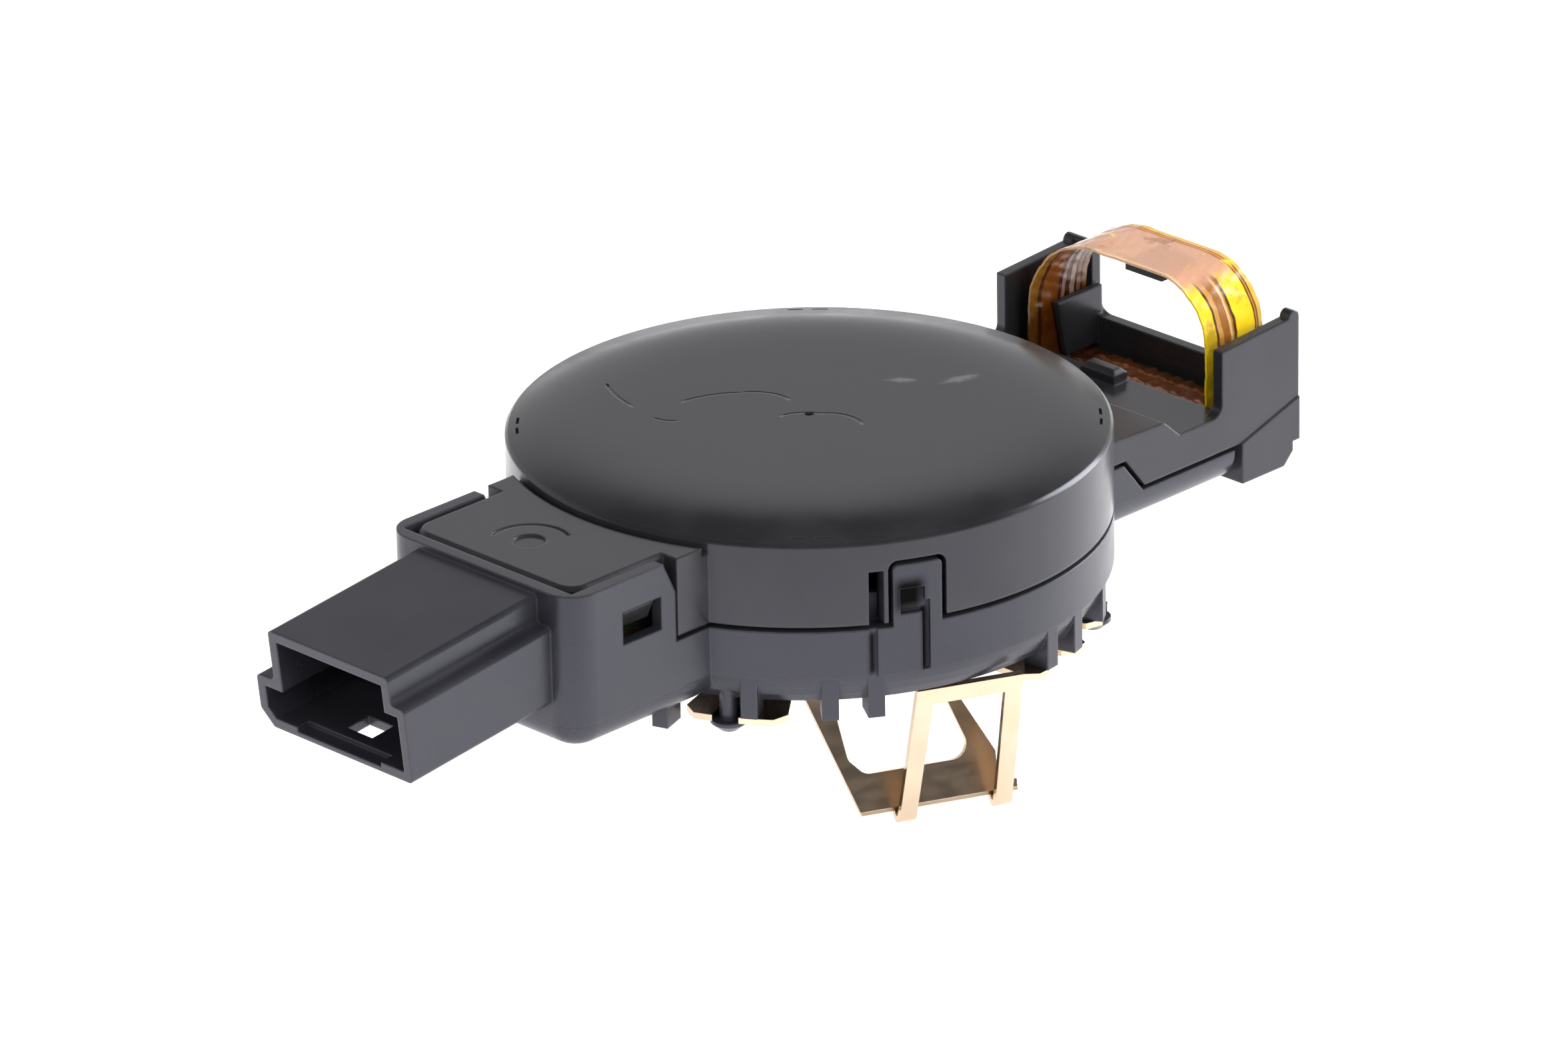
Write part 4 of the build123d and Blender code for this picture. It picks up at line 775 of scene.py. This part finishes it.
# Finishes of the inner pieces: each has its own colours and grain
clearBasics = {
    "colour": (0.93, 0.95, 0.96), "transmission": 0.95, "flowRange": (0.3, 0.7), "flowStrength": 0.15,
    "flowDepth": 0.00003, "smoothest": 0.6, "roughest": 1.4, "speckScale": 6, "speckRange": (0.10, 0.04),
    "speckColour": (0.70, 0.70, 0.68), "speckGloss": 0.2,
}
innerSettings = {
    "optic": {**clearBasics, "roughness": 0.06, "ior": 1.58, "flow": 260.0},
    # the pad is milky, so less light goes through it
    "silicone": {
        **clearBasics,
        "colour": (0.74, 0.77, 0.80), "roughness": 0.35, "ior": 1.41, "flow": 400.0, "transmission": 0.55,
    },
    "packageClear": {
        **clearBasics,
        "colour": (0.86, 0.88, 0.90), "roughness": 0.10, "ior": 1.52, "flow": 900.0,
    },
    "packageBlack": {
        **plasticBasics,
        "colour": (0.017, 0.017, 0.018), "patchColour": (0.024, 0.024, 0.025),
        "wornAndHighlightColour": (0.09, 0.09, 0.09),
        "roughness": 0.5, "ior": 1.5, "grainScale": 14000.0, "grainStrength": 0.4, "edgeRadius": 0.00005,
        "edgeWearAndHighlight": 0.3, "scratchScale": 500.0, "scratches": 0.1,
    },
    "connector": {
        **plasticBasics,
        "colour": (0.66, 0.61, 0.50), "patchColour": (0.60, 0.55, 0.44),
        "wornAndHighlightColour": (0.74, 0.70, 0.60),
        "roughness": 0.45, "ior": 1.5, "grainScale": 9000.0, "grainStrength": 0.3, "edgeRadius": 0.00008,
        "edgeWearAndHighlight": 0.3, "scratchScale": 400.0, "scratches": 0.2,
    },
    "baffle": {
        **plasticBasics,
        "colour": (0.020, 0.020, 0.021), "patchColour": (0.026, 0.026, 0.027),
        "wornAndHighlightColour": (0.10, 0.10, 0.10),
        "roughness": 0.62, "ior": 1.5, "grainScale": 9000.0, "grainStrength": 0.6, "edgeRadius": 0.00010,
        "edgeWearAndHighlight": 0.3, "scratchScale": 300.0, "scratches": 0.1,
    },
    "board": {
        "mask": (0.012, 0.085, 0.028), "track": (0.030, 0.15, 0.055), "edge": (0.05, 0.04, 0.02),
        "scale": 620.0, "trackRange": (0.34, 0.38), "trackStrength": 0.4, "trackDepth": 0.00003,
        "flatFrom": 0.7, "edgeRoughness": 0.75, "faceRoughness": 0.22,
    },
    "tin": {
        "colour": (0.66, 0.65, 0.63), "dull": (0.48, 0.47, 0.46), "dullRange": (0.4, 0.65), "dullScale": 0.3,
        "roughness": 0.28, "lineSmoother": 0.08, "lineRougher": 0.1, "lineRange": (0.3, 0.7),
        "scale": 1800.0, "stretch": (0.1, 1, 1), "lineStrength": 0.2, "lineDepth": 0.00001,
    },
    "ceramic": {
        "body": (0.30, 0.19, 0.11), "darker": 0.7, "tin": (0.62, 0.61, 0.59), "cap": 0.0005,
        "scale": 2500.0, "firedRange": (0.3, 0.7), "smoothest": 0.32, "roughest": 0.5,
        "firedStrength": 0.3, "firedDepth": 0.00001,
    },
}


def clearMaterial(name, settings):
    # clear moulding: faint flow lines in the surface, and dust specks that dull it
    material, tree, shader = newMaterial(name)
    point = objectPoint(tree)
    flow = noiseOn(tree, point, scale=settings["flow"], detail=2.0, distortion=1.2)
    speckInputs = {"Vector": point, "Scale": settings["flow"] * settings["speckScale"]}
    specks = addNode(tree, "ShaderNodeTexVoronoi", speckInputs, feature="F1").outputs["Distance"]
    dust = ramp(tree, specks, *settings["speckRange"])
    smoothest = settings["roughness"] * settings["smoothest"]
    roughest = settings["roughness"] * settings["roughest"]
    gloss = ramp(tree, flow, *settings["flowRange"], smoothest, roughest)
    setInputs(tree, shader, {
        "Base Color": mixColour(tree, dust, settings["colour"], settings["speckColour"]),
        "Roughness": plus(tree, gloss, times(tree, dust, settings["speckGloss"])),
        "Normal": bumpFrom(tree, flow, settings["flowStrength"], settings["flowDepth"]),
        "IOR": settings["ior"],
        "Transmission Weight": settings["transmission"],
    })
    return material


def boardMaterial(settings):
    # solder mask over copper: straight-sided cells give the tracks, and the sawn edges show the laminate
    material, tree, shader = newMaterial("circuitBoard")
    cellInputs = {"Vector": objectPoint(tree), "Scale": settings["scale"], "Randomness": 0.75}
    cells = addNode(tree, "ShaderNodeTexVoronoi", cellInputs, feature="F1", distance="CHEBYCHEV")
    track = ramp(tree, cells.outputs["Distance"], *settings["trackRange"])
    facing = splitVector(tree, addNode(tree, "ShaderNodeNewGeometry").outputs["Normal"])["Z"]
    flat = mathNode(tree, "GREATER_THAN", mathNode(tree, "ABSOLUTE", facing), settings["flatFrom"])
    face = mixColour(tree, track, settings["mask"], settings["track"])
    setInputs(tree, shader, {
        "Base Color": mixColour(tree, flat, settings["edge"], face),
        "Roughness": ramp(tree, flat, 0, 1, settings["edgeRoughness"], settings["faceRoughness"]),
        "Normal": bumpFrom(tree, track, settings["trackStrength"], settings["trackDepth"]),
    })
    return material


def tinMaterial(settings):
    # tin plate: drawn lines along the pin and duller patches
    material, tree, shader = newMaterial("tinPlate")
    drawn = objectPoint(tree, scale=settings["stretch"])
    lines = noiseOn(tree, drawn, scale=settings["scale"], detail=3.0)
    patches = noiseOn(tree, objectPoint(tree), scale=settings["scale"] * settings["dullScale"], detail=3.0)
    dull = ramp(tree, patches, *settings["dullRange"])
    smoothest = settings["roughness"] - settings["lineSmoother"]
    roughest = settings["roughness"] + settings["lineRougher"]
    setInputs(tree, shader, {
        "Base Color": mixColour(tree, dull, settings["colour"], settings["dull"]),
        "Roughness": ramp(tree, lines, *settings["lineRange"], smoothest, roughest),
        "Normal": bumpFrom(tree, lines, settings["lineStrength"], settings["lineDepth"]),
        "Metallic": 1.0,
    })
    return material


def ceramicMaterial(name, node, settings):
    # chip capacitor: fired body between two tinned caps, found from the distance to its box's middle
    material, tree, shader = newMaterial(name)
    low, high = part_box(node)
    middle, half = (low[0] + high[0]) / 2, (high[0] - low[0]) / 2
    point = objectPoint(tree)
    off = offBy(tree, splitVector(tree, point)["X"], middle)
    cap = mathNode(tree, "GREATER_THAN", off, half - settings["cap"])
    fired = noiseOn(tree, point, scale=settings["scale"], detail=4.0)
    darker = tuple(settings["darker"] * part for part in settings["body"])
    body = mixColour(tree, ramp(tree, fired, *settings["firedRange"]), settings["body"], darker)
    setInputs(tree, shader, {
        "Base Color": mixColour(tree, cap, body, settings["tin"]),
        "Metallic": cap,
        "Roughness": ramp(tree, fired, *settings["firedRange"], settings["smoothest"], settings["roughest"]),
        "Normal": bumpFrom(tree, fired, settings["firedStrength"], settings["firedDepth"]),
    })
    return material


packageBlack = plasticMaterial("packageBlack", innerSettings["packageBlack"])
packageClear = clearMaterial("packageClear", innerSettings["packageClear"])
chips = [
    "humidity_chip", "receiver_1", "receiver_2", "microcontroller", "bus_transceiver", "voltage_regulator",
]
giveFinish(chips, packageBlack)
giveFinish(["emitter_1", "emitter_2", "ambient_light_sensor", "forward_light_sensor"], packageClear)
giveFinish(["light_guide"], clearMaterial("clearOptic", innerSettings["optic"]))
giveFinish(["coupling_pad"], clearMaterial("siliconePad", innerSettings["silicone"]))
giveFinish(["circuit_board"], boardMaterial(innerSettings["board"]))
giveFinish(["terminal_1", "terminal_2", "terminal_3"], tinMaterial(innerSettings["tin"]))
giveFinish(["flex_connector"], plasticMaterial("connectorPlastic", innerSettings["connector"]))
giveFinish(["optical_baffle"], plasticMaterial("bafflePlastic", innerSettings["baffle"]))
for name in ("capacitor_1", "capacitor_2"):
    giveFinish([name], ceramicMaterial(name + "Ceramic", name, innerSettings["ceramic"]))
print("inner pieces finished")

# Floor: a plain pale sheet that stays white where the light falls on it and keeps the shadow
floorSettings = {
    "height": -0.0071, "halfSize": 3.0, "colour": (0.80, 0.80, 0.80), "roughness": 0.9,
    "lift": 0.48, "seenLift": 0.14,
    "tableNear": 0.05, "tableFar": 0.12, "darkColour": (0.03, 0.03, 0.03),
}


def makeFloor(settings):
    h = settings["halfSize"]
    z = settings["height"]
    mesh = bpy.data.meshes.new("floor")
    mesh.from_pydata([(-h, -h, z), (h, -h, z), (h, h, z), (-h, h, z)], [], [(0, 1, 2, 3)])
    floor = bpy.data.objects.new("floor", mesh)
    bpy.context.scene.collection.objects.link(floor)
    material, tree, shader = newMaterial("paleFloor")
    path = addNode(tree, "ShaderNodeLightPath").outputs
    seen = largest(tree, path["Is Camera Ray"], path["Is Transmission Ray"], path["Is Glossy Ray"])
    # gloss sees the table end at the dark end of the room, which leaves the clips' leaves dark
    towards = vectorNode(tree, "DOT_PRODUCT", objectPoint(tree), darkEnd, "Value")
    beyond = ramp(tree, towards, settings["tableNear"], settings["tableFar"])
    dark = times(tree, path["Is Glossy Ray"], beyond)
    lift = times(tree, mathNode(tree, "SUBTRACT", seen, dark), settings["lift"])
    setInputs(tree, shader, {
        "Base Color": mixColour(tree, dark, settings["colour"], settings["darkColour"]),
        "Roughness": settings["roughness"],
        "Specular IOR Level": 0.0,
        "Emission Color": (1, 1, 1, 1),
        "Emission Strength": plus(tree, times(tree, path["Is Camera Ray"], settings["seenLift"]), lift),
    })
    # from below the sheet isn't there, so the part's underside can be looked at
    below = addNode(tree, "ShaderNodeNewGeometry").outputs["Backfacing"]
    clear = addNode(tree, "ShaderNodeBsdfTransparent").outputs[0]
    either = addNode(tree, "ShaderNodeMixShader", {0: below, 1: shader.outputs[0], 2: clear})
    setInputs(tree, tree.nodes["Material Output"], {"Surface": either.outputs[0]})
    mesh.materials.append(material)


makeFloor(floorSettings)

bpy.context.scene.view_settings.view_transform = "Standard"
